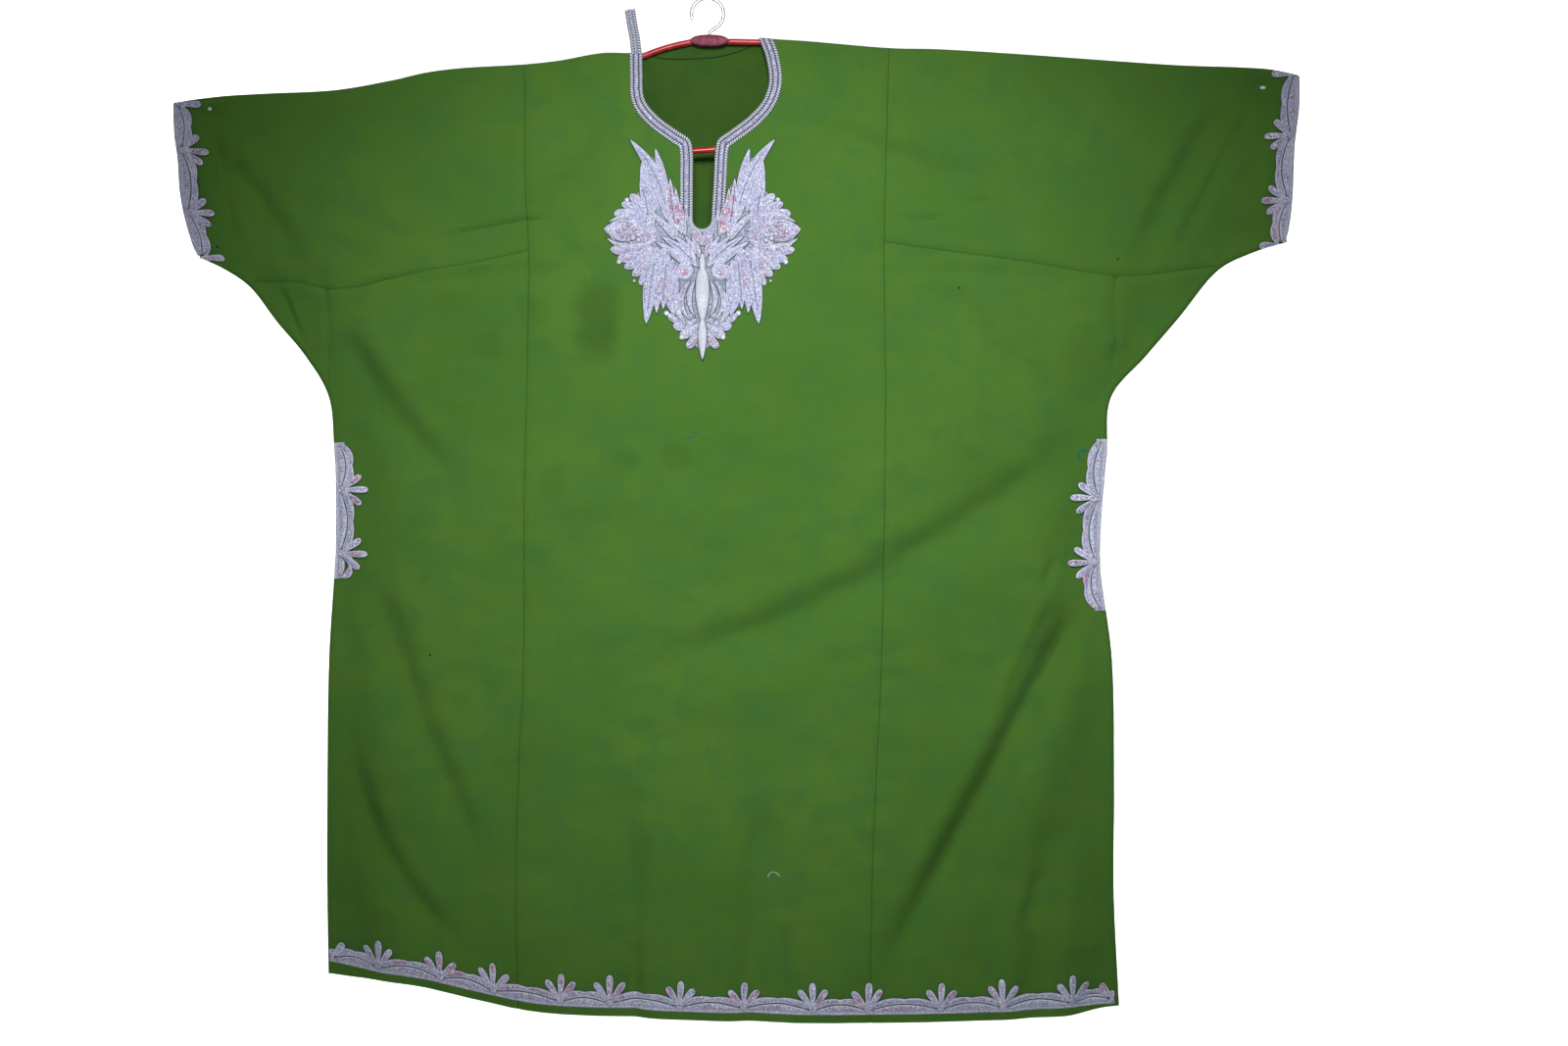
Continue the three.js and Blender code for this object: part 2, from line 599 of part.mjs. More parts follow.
function centreFace() {
  const parts = steps(shoulderX.length - 1);
  const [left, right] = [halves.left, halves.right];
  const seamLine = (half) => {
    const head = seamHead(half);
    const foot = seamFoot(half);
    const upper = steps(SLEEVE_ROWS).slice(0, -1).map((t) => mix(head.z, foot.z, t));
    const lower = bodyHeights(foot.z, sidePoint(half).z, hemZ(half.centreSeamX(-1100)));
    return [...upper, ...lower].map((z) => ({ x: half.centreSeamX(z), z }));
  };
  const leftLine = seamLine(left);
  const rightLine = seamLine(right);
  const top = shoulderX.map((shoulder, column) => {
    const { x, z } = faceTop({ 0: leftLine[0].x, [parts.length - 1]: rightLine[0].x }[column] ?? shoulder);
    return { x, z };
  });
  const ends = [leftLine.at(-1), rightLine.at(-1)];
  const bottom = parts.map((t) => {
    const x = mix(ends[0].x, ends[1].x, t);
    return { x, z: hemZ(x) };
  });
  return patch(top, bottom, leftLine, rightLine);
}

function centreCells(side) {
  const gap = SEAM_GAP / 2;
  const face = centreFace().map((row) => row.map((point, column) => {
    const inward = { 0: gap, [shoulderX.length - 1]: -gap }[column] ?? 0;
    return { ...shift(point, inward, 0), side };
  }));
  const roll = (angle) => face[0].map((point) => ({ ...rollPoint(topEdge(point.x), angle), side }));
  return cellsBetween([roll(SEAM_ANGLE), roll(45), ...face]);
}

function sideFace(half) {
  const foot = seamFoot(half);
  const corner = cornerPoint(half);
  const join = sidePoint(half);
  const parts = steps(SIDE_COLUMNS);
  const inner = bodyHeights(foot.z, join.z, hemZ(half.centreSeamX(-1100)))
    .map((z) => ({ x: half.centreSeamX(z), z }));
  const end = edgeFace(half, 1);
  const outer = bodyHeights(corner.z, join.z, end.z).map((z, row) => {
    if (row <= YOKE_ROWS) return mixPoint(corner, join, row / YOKE_ROWS);
    return row === inner.length - 1 ? end : edgeFace(half, half.placeAtHeight(z));
  });
  const top = parts.map((t) => {
    const x = mix(foot.x, corner.x, t);
    return { x, z: half.sleeveSeamZ(x) };
  });
  const bottom = parts.map((t, column) => {
    if (column === SIDE_COLUMNS) return end;
    const x = mix(inner.at(-1).x, end.x, t);
    return { x, z: column === 0 ? inner.at(-1).z : hemZ(x) };
  });
  return patch(top, bottom, inner, outer);
}

// how far open the side seam's roll ends, wider along the hand slit
function slitAngle(half, z) {
  const pocket = pocketRows[half.name];
  const along = (pocket.slitTop - z) / (pocket.slitTop - pocket.slitBottom);
  const gape = along > 0 && along < 1 ? POCKET_GAPE * Math.sin(Math.PI * along) ** 0.5 : 0;
  return Math.max(SEAM_ANGLE, THREE.MathUtils.radToDeg(Math.asin(gape / FOLD_RADIUS)));
}

function sideCells(half, side) {
  const gap = SEAM_GAP / 2;
  const grid = sideFace(half);
  const rows = grid.map((line, row) => {
    const face = line.map((point, column) => {
      const inward = column === 0 || (column === SIDE_COLUMNS && row <= YOKE_ROWS);
      const dx = column === 0 ? gap : -gap;
      const dz = row === 0 || (row === YOKE_ROWS && column === SIDE_COLUMNS) ? -gap : 0;
      return { ...shift(point, inward ? half.sign * dx : 0, dz), side };
    });
    const where = row === grid.length - 1 ? 1 : half.placeAtHeight(line[SIDE_COLUMNS].z);
    const edge = half.edge(Math.max(where, half.placeOf('side')));
    const roll = [mix(90, slitAngle(half, edge.z), 0.5), slitAngle(half, edge.z)].map((angle) => {
      if (row < YOKE_ROWS) return undefined;
      return { ...shift(rollPoint(edge, angle), 0, row === YOKE_ROWS ? -gap : 0), side };
    });
    return [...face, ...roll];
  });
  return cellsBetween(rows);
}

// ---- gussets ----

function gussetCells(half) {
  const gap = SEAM_GAP / 2;
  const corner = cornerPoint(half);
  const tip = tipPoint(half);
  const join = sidePoint(half);
  const edgeAt = (index) => half.edge(mix(half.placeOf('tip'), half.placeOf('side'), index / GUSSET_STEPS));
  const clear = (point, fromSleeve, fromSide) => (
    shift(point, fromSide ? half.sign * gap : 0, fromSleeve ? -gap : 0)
  );
  const endShift = (point, index) => {
    if (index === 0) return shift(point, -half.sign * gap, -gap);
    return index === GUSSET_STEPS ? shift(point, half.sign * gap, gap) : point;
  };
  const seamPoint = (index) => {
    const x = mix(corner.x, tip.x, index / GUSSET_STEPS);
    return { x, z: half.sleeveSeamZ(x) };
  };
  const lattice = (side) => Array.from({ length: GUSSET_STEPS + 1 }, (unused, row) => (
    Array.from({ length: row + 1 }, (unusedPoint, index) => {
      if (row === GUSSET_STEPS) {
        return { ...endShift(rollPoint(edgeAt(index), 90), index), side, angle: undefined };
      }
      const along = row === 0 ? 0 : index / row;
      const point = mixPoint(seamPoint(row), mixPoint(corner, join, row / GUSSET_STEPS), along);
      return { ...clear(point, index === 0, index === row), side };
    })
  ));
  const triangles = (rows) => rows.slice(0, -1).flatMap((line, row) => line.flatMap((point, index) => {
    const next = rows[row + 1];
    const cell = [[point, next[index], next[index + 1]]];
    if (index < row) cell.push([point, next[index + 1], line[index + 1]]);
    return cell;
  }));
  const roll = (angle, side) => Array.from({ length: GUSSET_STEPS + 1 }, (unused, index) => (
    { ...endShift(rollPoint(edgeAt(index), angle), index), side }
  ));
  const front = lattice(-1);
  const back = lattice(1);
  const over = cellsBetween([
    front.at(-1), roll(45, -1), roll(0, 1), roll(45, 1), back.at(-1),
  ]).map(([a, b, c]) => [a, c, b]);
  return [
    ...triangles(front), ...over,
    ...triangles(back).map(([a, b, c]) => [a, c, b]),
  ];
}

// ---- neck opening ----

function neckLine() {
  const [left, right] = [neckRows.left, neckRows.right].map((rows) => (
    new THREE.CatmullRomCurve3(rows.map((row) => new THREE.Vector3(row.x, 0, row.z)), false, 'centripetal')
      .getPoints(2 * (rows.length - 1))
      .map((point) => ({ x: point.x, z: point.z }))
  ));
  const [from, to] = [left.at(-1), right.at(-1)];
  const radius = (to.x - from.x) / 2;
  const end = steps(6).slice(1, -1).map((t) => ({
    x: from.x + radius - radius * Math.cos(Math.PI * t),
    z: from.z - radius * Math.sin(Math.PI * t),
  }));
  return [...left, ...end, ...right.reverse()];
}

// the neck line moved outward, for the far edge of the braid
function movedOut(line, distance) {
  return line.map((point, index) => {
    const before = line[Math.max(index - 1, 0)];
    const after = line[Math.min(index + 1, line.length - 1)];
    const length = Math.hypot(after.x - before.x, after.z - before.z);
    return {
      x: point.x + (distance * (after.z - before.z)) / length,
      z: point.z - (distance * (after.x - before.x)) / length,
    };
  });
}

const FRONT = [-90, 0];
const BACK = [0, 90];

function neckHole() {
  return prism(neckLine(), ...FRONT);
}

// what is cut from the back panel, down to the hanger's tube
function backNeckHole() {
  const tube = hangerRows
    .filter((row) => row.x > BACK_NECK.left && row.x < BACK_NECK.right && row.z > BACK_NECK.leftZ)
    .sort((a, b) => a.x - b.x);
  return prism([
    { x: BACK_NECK.left, z: BACK_NECK.top }, { x: BACK_NECK.left, z: BACK_NECK.leftZ },
    ...tube,
    { x: BACK_NECK.right, z: BACK_NECK.rightZ }, { x: BACK_NECK.right, z: BACK_NECK.top },
  ], ...BACK);
}

// ---- embroidery outlines ----

// a pointed leaf from its base, bent to one side
function leafOutline(baseX, baseZ, leaf, mirror, parts) {
  const lean = THREE.MathUtils.degToRad(leaf.lean);
  const alongX = Math.sin(lean) * mirror;
  const alongZ = -Math.cos(lean);
  const at = (t, across) => {
    const sideways = across + leaf.bend * t * t;
    return {
      x: baseX + alongX * leaf.length * t - alongZ * sideways * mirror,
      z: baseZ + alongZ * leaf.length * t + alongX * sideways * mirror,
    };
  };
  const half = (t) => (leaf.width / 2) * Math.sin(Math.PI * t ** 0.8) ** 0.8;
  const outline = [
    ...parts.map((t) => at(t, half(t))), at(1, 0), ...parts.slice().reverse().map((t) => at(t, -half(t))),
  ];
  return mirror > 0 ? outline : outline.reverse();
}

function motifOutline() {
  const leaves = [
    ...motifLeaves.map((leaf) => ({ leaf, mirror: 1 })),
    ...motifLeaves.map((leaf) => ({ leaf, mirror: -1 })),
    ...motifMiddle.map((leaf) => ({ leaf, mirror: 1 })),
  ];
  return joined(leaves.map(({ leaf, mirror }) => prism(
    leafOutline(MOTIF.x + leaf.across * mirror, MOTIF.z - leaf.down, leaf, mirror, LEAF_PARTS),
    ...FRONT,
  )));
}

// a flower of three petals growing from a point in a direction
function flowerOutline(x, z, lean, fromY, toY) {
  return joined([-1, 0, 1].map((turn) => {
    const petal = {
      length: FLOWER.root + (turn === 0 ? FLOWER.petal : FLOWER.side),
      width: FLOWER.width, lean: lean + turn * FLOWER.spread, bend: 0,
    };
    return prism(leafOutline(x, z, petal, 1, PETAL_PARTS), fromY, toY);
  }));
}

function hemBandOutline(side) {
  const stations = steps(HEM_BAND.parts).map((t) => mix(HEM_BAND.fromX, HEM_BAND.toX, t));
  const band = prism([
    ...stations.map((x) => ({ x, z: hemZ(x) + HEM_BAND.low })),
    ...stations.slice().reverse().map((x) => ({ x, z: hemZ(x) + HEM_BAND.high })),
  ], ...(side < 0 ? FRONT : BACK));
  const flowers = hemFlowerX.map((x) => (
    flowerOutline(x, hemZ(x) + HEM_BAND.high - FLOWER.root, 180, ...(side < 0 ? FRONT : BACK))
  ));
  return joined([band, ...flowers]);
}

function cuffBandOutline(half) {
  const heights = steps(CUFF_BAND.parts).map((t) => mix(CUFF_BAND.top, CUFF_BAND.bottom, t));
  const inward = -half.sign;
  const clampZ = (z) => THREE.MathUtils.clamp(z, cuffRows[half.name][0].z, cuffRows[half.name].at(-1).z);
  const edgeX = (z) => half.cuffX(clampZ(z));
  const band = prism([
    ...heights.map((z) => ({ x: edgeX(z) - inward * OUTSIDE, z })),
    ...heights.slice().reverse().map((z) => ({ x: edgeX(z) + inward * CUFF_BAND.width, z })),
  ], FRONT[0], BACK[1]);
  const flowers = cuffFlowerZ[half.name].map((z) => flowerOutline(
    edgeX(z) + inward * (CUFF_BAND.width - FLOWER.root), z, inward * 90, FRONT[0], BACK[1],
  ));
  return joined([band, ...flowers]);
}

function pocketBandOutline(half, side) {
  const pocket = pocketRows[half.name];
  const depth = side < 0 ? FRONT : BACK;
  const inward = -half.sign;
  const edgeX = (z) => half.edge(half.placeAtHeight(z)).x;
  const heights = steps(POCKET_BAND.parts).map((t) => mix(pocket.top, pocket.bottom, t));
  const widthAt = (z) => {
    const along = (pocket.top - z) / (pocket.top - pocket.bottom);
    return POCKET_BAND.width * Math.min(1, (along + 0.02) / POCKET_BAND.pointed)
      * Math.min(1, (1 - along + 0.03) / POCKET_BAND.rounded) ** 0.5;
  };
  const band = prism([
    ...heights.map((z) => ({ x: edgeX(z) - inward * OUTSIDE, z })),
    ...heights.slice().reverse().map((z) => ({ x: edgeX(z) + inward * widthAt(z), z })),
  ], ...depth);
  const flowers = pocket.flowers.map((z) => flowerOutline(
    edgeX(z) + inward * POCKET_BAND.flowerFoot, z, inward * 90, ...depth,
  ));
  return joined([band, ...flowers]);
}

// ---- hanger ----

const circle = (radius, sides) => new THREE.Shape(
  steps(sides).slice(1).map((t) => new THREE.Vector2(
    radius * Math.cos(2 * Math.PI * t),
    radius * Math.sin(2 * Math.PI * t),
  )),
);

function tubeAlong(points, radius, sides, stations) {
  const path = new THREE.CatmullRomCurve3(points);
  return new THREE.ExtrudeGeometry(circle(radius, sides), {
    steps: stations, extrudePath: path, bevelEnabled: false,
  });
}

const hangerTube = () => tubeAlong(
  hangerRows.map((row) => new THREE.Vector3(row.x, 0, row.z)),
  TUBE_RADIUS, 8, 46,
);

function hangerBoss() {
  const shape = new THREE.Shape();
  const bevel = 3;
  shape.absellipse(0, 0, BOSS.width / 2 - bevel, BOSS.height / 2 - bevel, 0, 2 * Math.PI, false, 0);
  const geometry = new THREE.ExtrudeGeometry(shape, {
    depth: BOSS.depth - 2 * bevel, bevelSize: bevel, bevelThickness: bevel,
    bevelSegments: 2, curveSegments: 10,
  });
  geometry.translate(0, 0, -(BOSS.depth - 2 * bevel) / 2);
  geometry.rotateX(Math.PI / 2);
  return geometry;
}

// a round crook with the rail's place inside its top, and a stem down to the boss
function hangerHook() {
  const centreZ = HOOK.wire - HOOK.radius;
  const arc = steps(16).map((t) => {
    const turn = THREE.MathUtils.degToRad(mix(HOOK.fromAngle, HOOK.toAngle, t));
    return new THREE.Vector3(HOOK.radius * Math.cos(turn), 0, centreZ + HOOK.radius * Math.sin(turn));
  });
  const foot = BOSS.z + BOSS.height / 2 + TRIM_LIFT;
  return tubeAlong([
    new THREE.Vector3(HOOK.stemX, 0, foot), new THREE.Vector3(HOOK.stemX, 0, foot + HOOK.stem), ...arc,
  ], HOOK.wire, 8, 30);
}

// ---- the model ----

const wool = new THREE.MeshStandardMaterial({ color: 0x457028, roughness: 0.9, metalness: 0 });
const tilla = new THREE.MeshStandardMaterial({ color: 0xb4b2d2, roughness: 0.4, metalness: 0.7 });
const redPlastic = new THREE.MeshStandardMaterial({ color: 0xc02a34, roughness: 0.25, metalness: 0 });
const mauvePlastic = new THREE.MeshStandardMaterial({ color: 0xa65480, roughness: 0.35, metalness: 0 });
const steel = new THREE.MeshStandardMaterial({ color: 0xc8c8c8, roughness: 0.25, metalness: 1 });

const pheran = new THREE.Group();
const clothes = new THREE.Group();
const hanger = new THREE.Group();
pheran.add(clothes, hanger);

function addPiece(group, name, geometry, material) {
  const mesh = new THREE.Mesh(geometry, material);
  mesh.name = name;
  group.add(mesh);
  return mesh;
}

const clothWall = (cells) => wallGeometry(cells, -CLOTH, 0);

function addCentre() {
  const frontCells = centreCells(-1);
  const backCells = centreCells(1);
  const neckEdge = neckLine();
  const braidOutline = prism([...movedOut(neckEdge, BRAID_WIDTH), ...neckEdge.slice().reverse()], ...FRONT);
  const braidRoom = prism([
    ...movedOut(neckEdge, BRAID_WIDTH + SEAM_GAP), ...neckEdge.slice().reverse(),
  ], ...FRONT);
  const hole = neckHole();
  const front = toSolid(clothWall(frontCells)).subtract(hole);
  const back = toSolid(clothWall(backCells)).subtract(backNeckHole());
  addPiece(clothes, 'front_panel', toGeometry(front), wool);
  addPiece(clothes, 'back_panel', toGeometry(back), wool);
  const motif = motifOutline().subtract(braidRoom).subtract(hole);
  addPiece(clothes, 'neck_braid', toGeometry(embroidery(frontCells, braidOutline.subtract(hole))), tilla);
  addPiece(clothes, 'neck_motif', toGeometry(embroidery(frontCells, motif)), tilla);
  addPiece(clothes, 'hem_border_front', toGeometry(embroidery(frontCells, hemBandOutline(-1))), tilla);
  addPiece(clothes, 'hem_border_back', toGeometry(embroidery(backCells, hemBandOutline(1))), tilla);
}

function addHalf(half) {
  const sleeve = sleeveCells(half);
  addPiece(clothes, `sleeve_${half.name}`, clothWall(sleeve), wool);
  addPiece(clothes, `cuff_border_${half.name}`, toGeometry(embroidery(sleeve, cuffBandOutline(half))), tilla);
  addPiece(clothes, `gusset_${half.name}`, clothWall(gussetCells(half)), wool);
  [{ face: 'front', side: -1 }, { face: 'back', side: 1 }].forEach(({ face, side }) => {
    const cells = sideCells(half, side);
    addPiece(clothes, `${face}_side_${half.name}`, clothWall(cells), wool);
    addPiece(clothes, `hem_border_${face}_${half.name}`,
      toGeometry(embroidery(cells, hemBandOutline(side))), tilla);
    addPiece(clothes, `pocket_border_${face}_${half.name}`,
      toGeometry(embroidery(cells, pocketBandOutline(half, side))), tilla);
  });
}

function addHanger() {
  addPiece(hanger, 'hanger_tube', hangerTube(), redPlastic);
  addPiece(hanger, 'hanger_boss', hangerBoss(), mauvePlastic).position.set(BOSS.x, BOSS.y, BOSS.z);
  addPiece(hanger, 'hook', hangerHook(), steel);
}

addCentre();
addHalf(halves.left);
addHalf(halves.right);
addHanger();

export default pheran;
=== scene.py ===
# The finish of a pheran on a hanger: cloth shells, metal-thread embroidery, braid and hanger.
# Tables and lengths are in millimetres in the model's own frame; meshes are made in metres.
import math

import bmesh
import bpy
import numpy as np
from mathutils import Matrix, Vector


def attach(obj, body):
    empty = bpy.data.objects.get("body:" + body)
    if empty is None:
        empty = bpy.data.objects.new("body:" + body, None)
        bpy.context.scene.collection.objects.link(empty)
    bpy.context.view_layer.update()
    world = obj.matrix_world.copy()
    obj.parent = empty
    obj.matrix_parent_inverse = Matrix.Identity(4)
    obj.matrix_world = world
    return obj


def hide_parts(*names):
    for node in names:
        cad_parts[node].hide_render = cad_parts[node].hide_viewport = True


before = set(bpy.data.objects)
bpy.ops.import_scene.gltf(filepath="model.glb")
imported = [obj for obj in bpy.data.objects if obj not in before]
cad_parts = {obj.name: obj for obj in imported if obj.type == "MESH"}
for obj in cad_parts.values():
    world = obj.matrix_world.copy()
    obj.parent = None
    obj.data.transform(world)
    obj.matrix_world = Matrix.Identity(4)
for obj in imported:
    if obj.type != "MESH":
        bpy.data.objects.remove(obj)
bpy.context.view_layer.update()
MM = 0.001

# ---- driving sizes, as in the model ----

CLOTH = 1.5                     # thickness of the cloth's wall
FOLD_RADIUS = 5.4               # radius of the folded edges at the outline
SEAM_GAP, SEAM_ANGLE = 0.06, 3.0
BODY_DEPTH, HEM_DEPTH, CUFF_DEPTH = 24.0, 33.0, 14.0
# how far in from an edge the cloth, a fold and a crease reach their full depth
TOP_REACH, SIDE_REACH, FOLD_REACH, CREASE_REACH = 130.0, 85.0, 55.0, 16.0
FLARE = (500.0, 650.0)          # how far down the body starts to deepen, and over how much
TAPER = (330.0, 300.0)          # how far out it starts to thin towards the cuffs, the same
FOLD_FADE = (0.2, 0.33)         # share of a fold's length that it takes to fade at each end
RIDGE = 0.9                     # how far a fold's two ridges stand up beside its trough
STEEP_SIDE, GENTLE_SIDE = 0.9, 1.5
TROUGH_REACH = 3.6              # widths from a trough's line to where it's gone
BRAID_WIDTH = 15.0
POCKET_GAPE = 4.5               # half the width of a hand slit at its middle

# relief beside a seam: height, distance from it, width
SEAM_GROOVE, SEAM_ALLOWANCE, SEAM_PUCKER = (-1.6, 0.0, 2.6), (0.7, 8.0, 5.0), (0.6, 0.0, 14.0)
SEAM_FAR = 30.0                 # the most that a distance from a seam is counted
PUCKER_SEED, PUCKER_WAVES = 5, (16, 34, 6)
# uneven cloth: height, step in the seed, shortest and longest wave
UNEVEN = ((1.5, 0, 90, 240), (0.45, 10, 28, 70))
PIN_DIMPLE = (5.0, 0.0, 15.0)   # the cloth's dimple round a pin: depth, distance, width

# ---- how fine the shells are ----

STEP = 4.5
SIDE_COLUMNS = round(220 / STEP)
GUSSET_STEPS = round(115 / STEP)
CUFF_COLUMNS = round(80 / STEP)
SLEEVE_ROWS = round(215 / STEP)
SKIRT_ROWS = round(690 / STEP)
CENTRE_COLUMNS = round(405 / STEP)
ROLL_ANGLES = (15.0, 30.0, 45.0, 60.0, 75.0)

# ---- outline tables ----

TOP = [
    (-604, -119), (-598, -115.5), (-549, -108.5), (-498, -105.2), (-418, -101.2), (-354, -90.2),
    (-315, -81.4), (-276, -76.5), (-209, -72.6), (-167, -68.2), (-119, -59.7), (-73, -58.2),
    (-58, -47), (-14, -37), (30, -36), (45, -38.5), (57, -42.3), (114, -46.5), (203, -54),
    (262, -55.5), (361, -61.6), (445, -67.7), (529, -73.3), (627, -77.4), (664, -85),
]
LOWER = {
    "left": [
        (-570, -290), (-545, -301), (-514, -322), (-483, -362), (-452, -399), (-425.7, -444),
        (-419.5, -500), (-418, -615), (-425, -740), (-427, -900), (-427, -1000), (-425.5, -1092),
    ],
    "right": [
        (650, -272), (612, -284), (574, -303), (529, -357), (492, -400), (453, -446),
        (448.5, -510), (441.5, -630), (454, -740), (456.5, -880), (456, -1000), (462, -1128),
    ],
}
# the rows above where the gusset's tip lies and where the side edge begins
TIP_ROW, SIDE_ROW = 2, 5
CUFF = {
    "left": [
        (-300, -567), (-273, -577.5), (-225, -588.5), (-179, -593), (-148, -597.5), (-110, -599),
    ],
    "right": [(-280, 648), (-240, 653.4), (-169, 657), (-120, 663), (-80, 663.5)],
}
NECK = {
    "left": [
        (-72.6, 20), (-72.6, -60), (-72.2, -84), (-69.9, -113), (-55, -133), (-32, -150.5),
        (-18.7, -160), (-15.6, -174), (-15.4, -204), (-15.6, -249),
    ],
    "right": [
        (56, 20), (57, -40), (65.5, -66), (68.8, -93.5), (62.7, -114), (46.8, -133), (24, -150.5),
        (12, -160), (9, -174), (7.3, -204.6), (4.6, -249),
    ],
}
# across, where the neck hole meets the shoulders; how high the back's neck edge is there; and a
# height above the shoulders, for the ends of an outline that leaves the cloth
NECK_SIDES, BACK_NECK_ENDS, NECK_ABOVE = (-72.6, 57.0), (-63.4, -47.8), 20.0
CENTRE_SEAM = {
    "left": [
        (-1140, -209.5), (-987, -212.3), (-847, -209), (-765, -204.6), (-550, -203.5),
        (-304, -198.5), (-212, -202.4), (-60, -205.8),
    ],
    "right": [
        (-1150, 181.5), (-980, 184), (-880, 188.1), (-760, 193.6), (-632, 196.9), (-440, 199),
        (-275, 197.5), (-50, 203.5),
    ],
}
SLEEVE_SEAM = {
    "left": [
        (-514, -317), (-459, -317.5), (-425, -325), (-390, -323.4), (-354, -314.6), (-310, -304.7),
        (-268, -297.7), (-198, -283),
    ],
    "right": [(198, -274), (280, -285), (361, -296), (456, -311), (517, -306), (574, -298)],
}
HEM = [
    (-430, -1086), (-366, -1096), (-318, -1102), (-257, -1116), (-192, -1130), (-112, -1135),
    (41, -1141), (196, -1142.5), (331, -1139), (462, -1134),
]
# about how high the centre seams start, meet the sleeves and end, and where the gussets end
SEAM_HEAD, SEAM_FOOT, SEAM_HEM, GUSSET_FOOT = -65, -280, -1100, -446
# across from the middle, where the seam under the arm meets the gusset's inner corner
SIDE_CORNER = {"left": -424.5, "right": 456.0}
HEM_CORNER = 60.0               # how far from a side edge the hem bends to meet it
POCKET = {
    "left": dict(top=-497, bottom=-650, flowers=(-550, -621), slit_top=-505, slit_bottom=-640),
    "right": dict(top=-493, bottom=-686, flowers=(-559, -631), slit_top=-505, slit_bottom=-668),
}
HANGER = [
    (-20.5, -46.6), (-45, -53.5), (-73, -63.6), (-120, -84), (-170, -110), (-200, -131),
    (-211, -153), (-203, -175), (-180, -182), (-100, -176), (0, -168.5), (100, -161),
    (180, -155), (204, -147), (210, -124), (198, -104), (160, -80), (110, -58), (71, -48.9),
    (45, -47.3), (25, -47),
]
PINS = {"left": (-558, -123), "right": (623, -99)}

# hanging folds of the model: start x, z, bend x, z, end x, z, width, depth
FRONT_FOLDS = [
    (443, -473, 150, -715, -134, -759, 28, 10),
    (416, -660, 346, -828, 163, -1150, 24, 16),
    (-415, -363, -365, -455, -266, -566, 22, 9),
    (-371, -638, -338, -790, -230, -1010, 24, 10),
    (-411, -801, -385, -965, -250, -1085, 19, 10),
    (-569, -155, -505, -205, -442, -318, 19, 7),
    (581, -115, 520, -200, 471, -320, 19, 7),
    (-90, -150, -130, -180, -200, -270, 26, 5),
    (119, -140, 210, -180, 320, -215, 24, 6),
    (-95, -860, -85, -1000, -80, -1260, 26, 8),
    (60, -900, 50, -1020, 45, -1260, 24, 7),
    (390, -900, 370, -1000, 350, -1260, 24, 8),
]
BACK_FOLDS = [
    (-430, -470, -180, -640, 60, -700, 28, 9),
    (-390, -690, -300, -900, -200, -1260, 25, 12),
    (410, -420, 350, -560, 230, -700, 25, 9),
    (390, -730, 330, -930, 260, -1260, 24, 12),
    (40, -800, 20, -950, 30, -1260, 28, 9),
    (-560, -160, -500, -210, -440, -300, 20, 6),
    (590, -140, 530, -210, 470, -290, 20, 6),
]

# finer creases laid over them, in the same columns
FRONT_CREASES = [
    (614, -115, 559, -209, 515, -300, 9, 4),
    (650, -130, 640, -190, 625, -270, 9, 3),
    (-560, -130, -580, -190, -572, -262, 8, 4),
    (-555, -130, -545, -210, -520, -292, 9, 4),
    (-478, -321, -463, -360, -444, -412, 5, 5),
    (-310, -274, -240, -250, -145, -244, 4.5, 3),
    (-415, -328, -233, -300, -134, -308, 9, 3),
    (207, -243, 240, -258, 283, -237, 4, 3),
    (283, -237, 306, -220, 345, -231, 4, 2.5),
    (141, -306, 306, -300, 449, -319, 8, 3),
    (130, -280, 220, -288, 306, -291, 7, 2),
    (388, -620, 382, -645, 371, -664, 6, 3.5),
    (389, -672, 360, -714, 318, -822, 8, 4),
    (403, -692, 392, -742, 360, -780, 7, 3),
    (372, -968, 360, -1010, 342, -1060, 9, 4),
    (-79, -1050, -80, -1090, -78, -1160, 9, 4),
    (86, -1030, 84, -1080, 88, -1160, 10, 4),
    (250, -300, 330, -420, 430, -470, 22, 4),
    (412, -668, 346, -826, 176, -1120, 19, 4),
    (-150, -560, -120, -690, -160, -820, 30, 4),
    (30, -480, 60, -560, 20, -690, 30, 3),
]
BACK_CREASES = [
    (-330, -300, -250, -290, -150, -300, 8, 3),
    (160, -290, 260, -302, 400, -310, 8, 3),
    (-380, -600, -350, -640, -310, -720, 9, 4),
    (400, -640, 380, -690, 330, -760, 9, 4),
    (-40, -260, -60, -380, -20, -520, 26, 4),
    (120, -330, 130, -470, 90, -600, 26, 4),
    (-100, -1020, -104, -1080, -100, -1160, 11, 4),
    (120, -1010, 130, -1080, 124, -1160, 11, 4),
    (-478, -321, -463, -360, -444, -412, 6, 4),
]
# for each side, the seed of its uneven cloth, its folds and its creases
HANG = {-1: (11, FRONT_FOLDS, FRONT_CREASES), 1: (12, BACK_FOLDS, BACK_CREASES)}


# ---- small helpers ----


def mix(a, b, t):
    return a + (b - a) * t


def ramp(t):
    t = np.clip(t, 0.0, 1.0)
    return t * t * (3 - 2 * t)


def unit(steps):
    return steps / np.linalg.norm(steps, axis=1)[:, None]


def bell(across, height, middle, width):
    return height * np.exp(-(((across - middle) / width) ** 2))


def walk(line):
    """How far along a line each of its points lies."""
    return np.concatenate([[0], np.cumsum(np.linalg.norm(np.diff(line, axis=0), axis=1))])


def points(x, z):
    return np.stack(np.broadcast_arrays(np.asarray(x, float), np.asarray(z, float)), axis=-1)


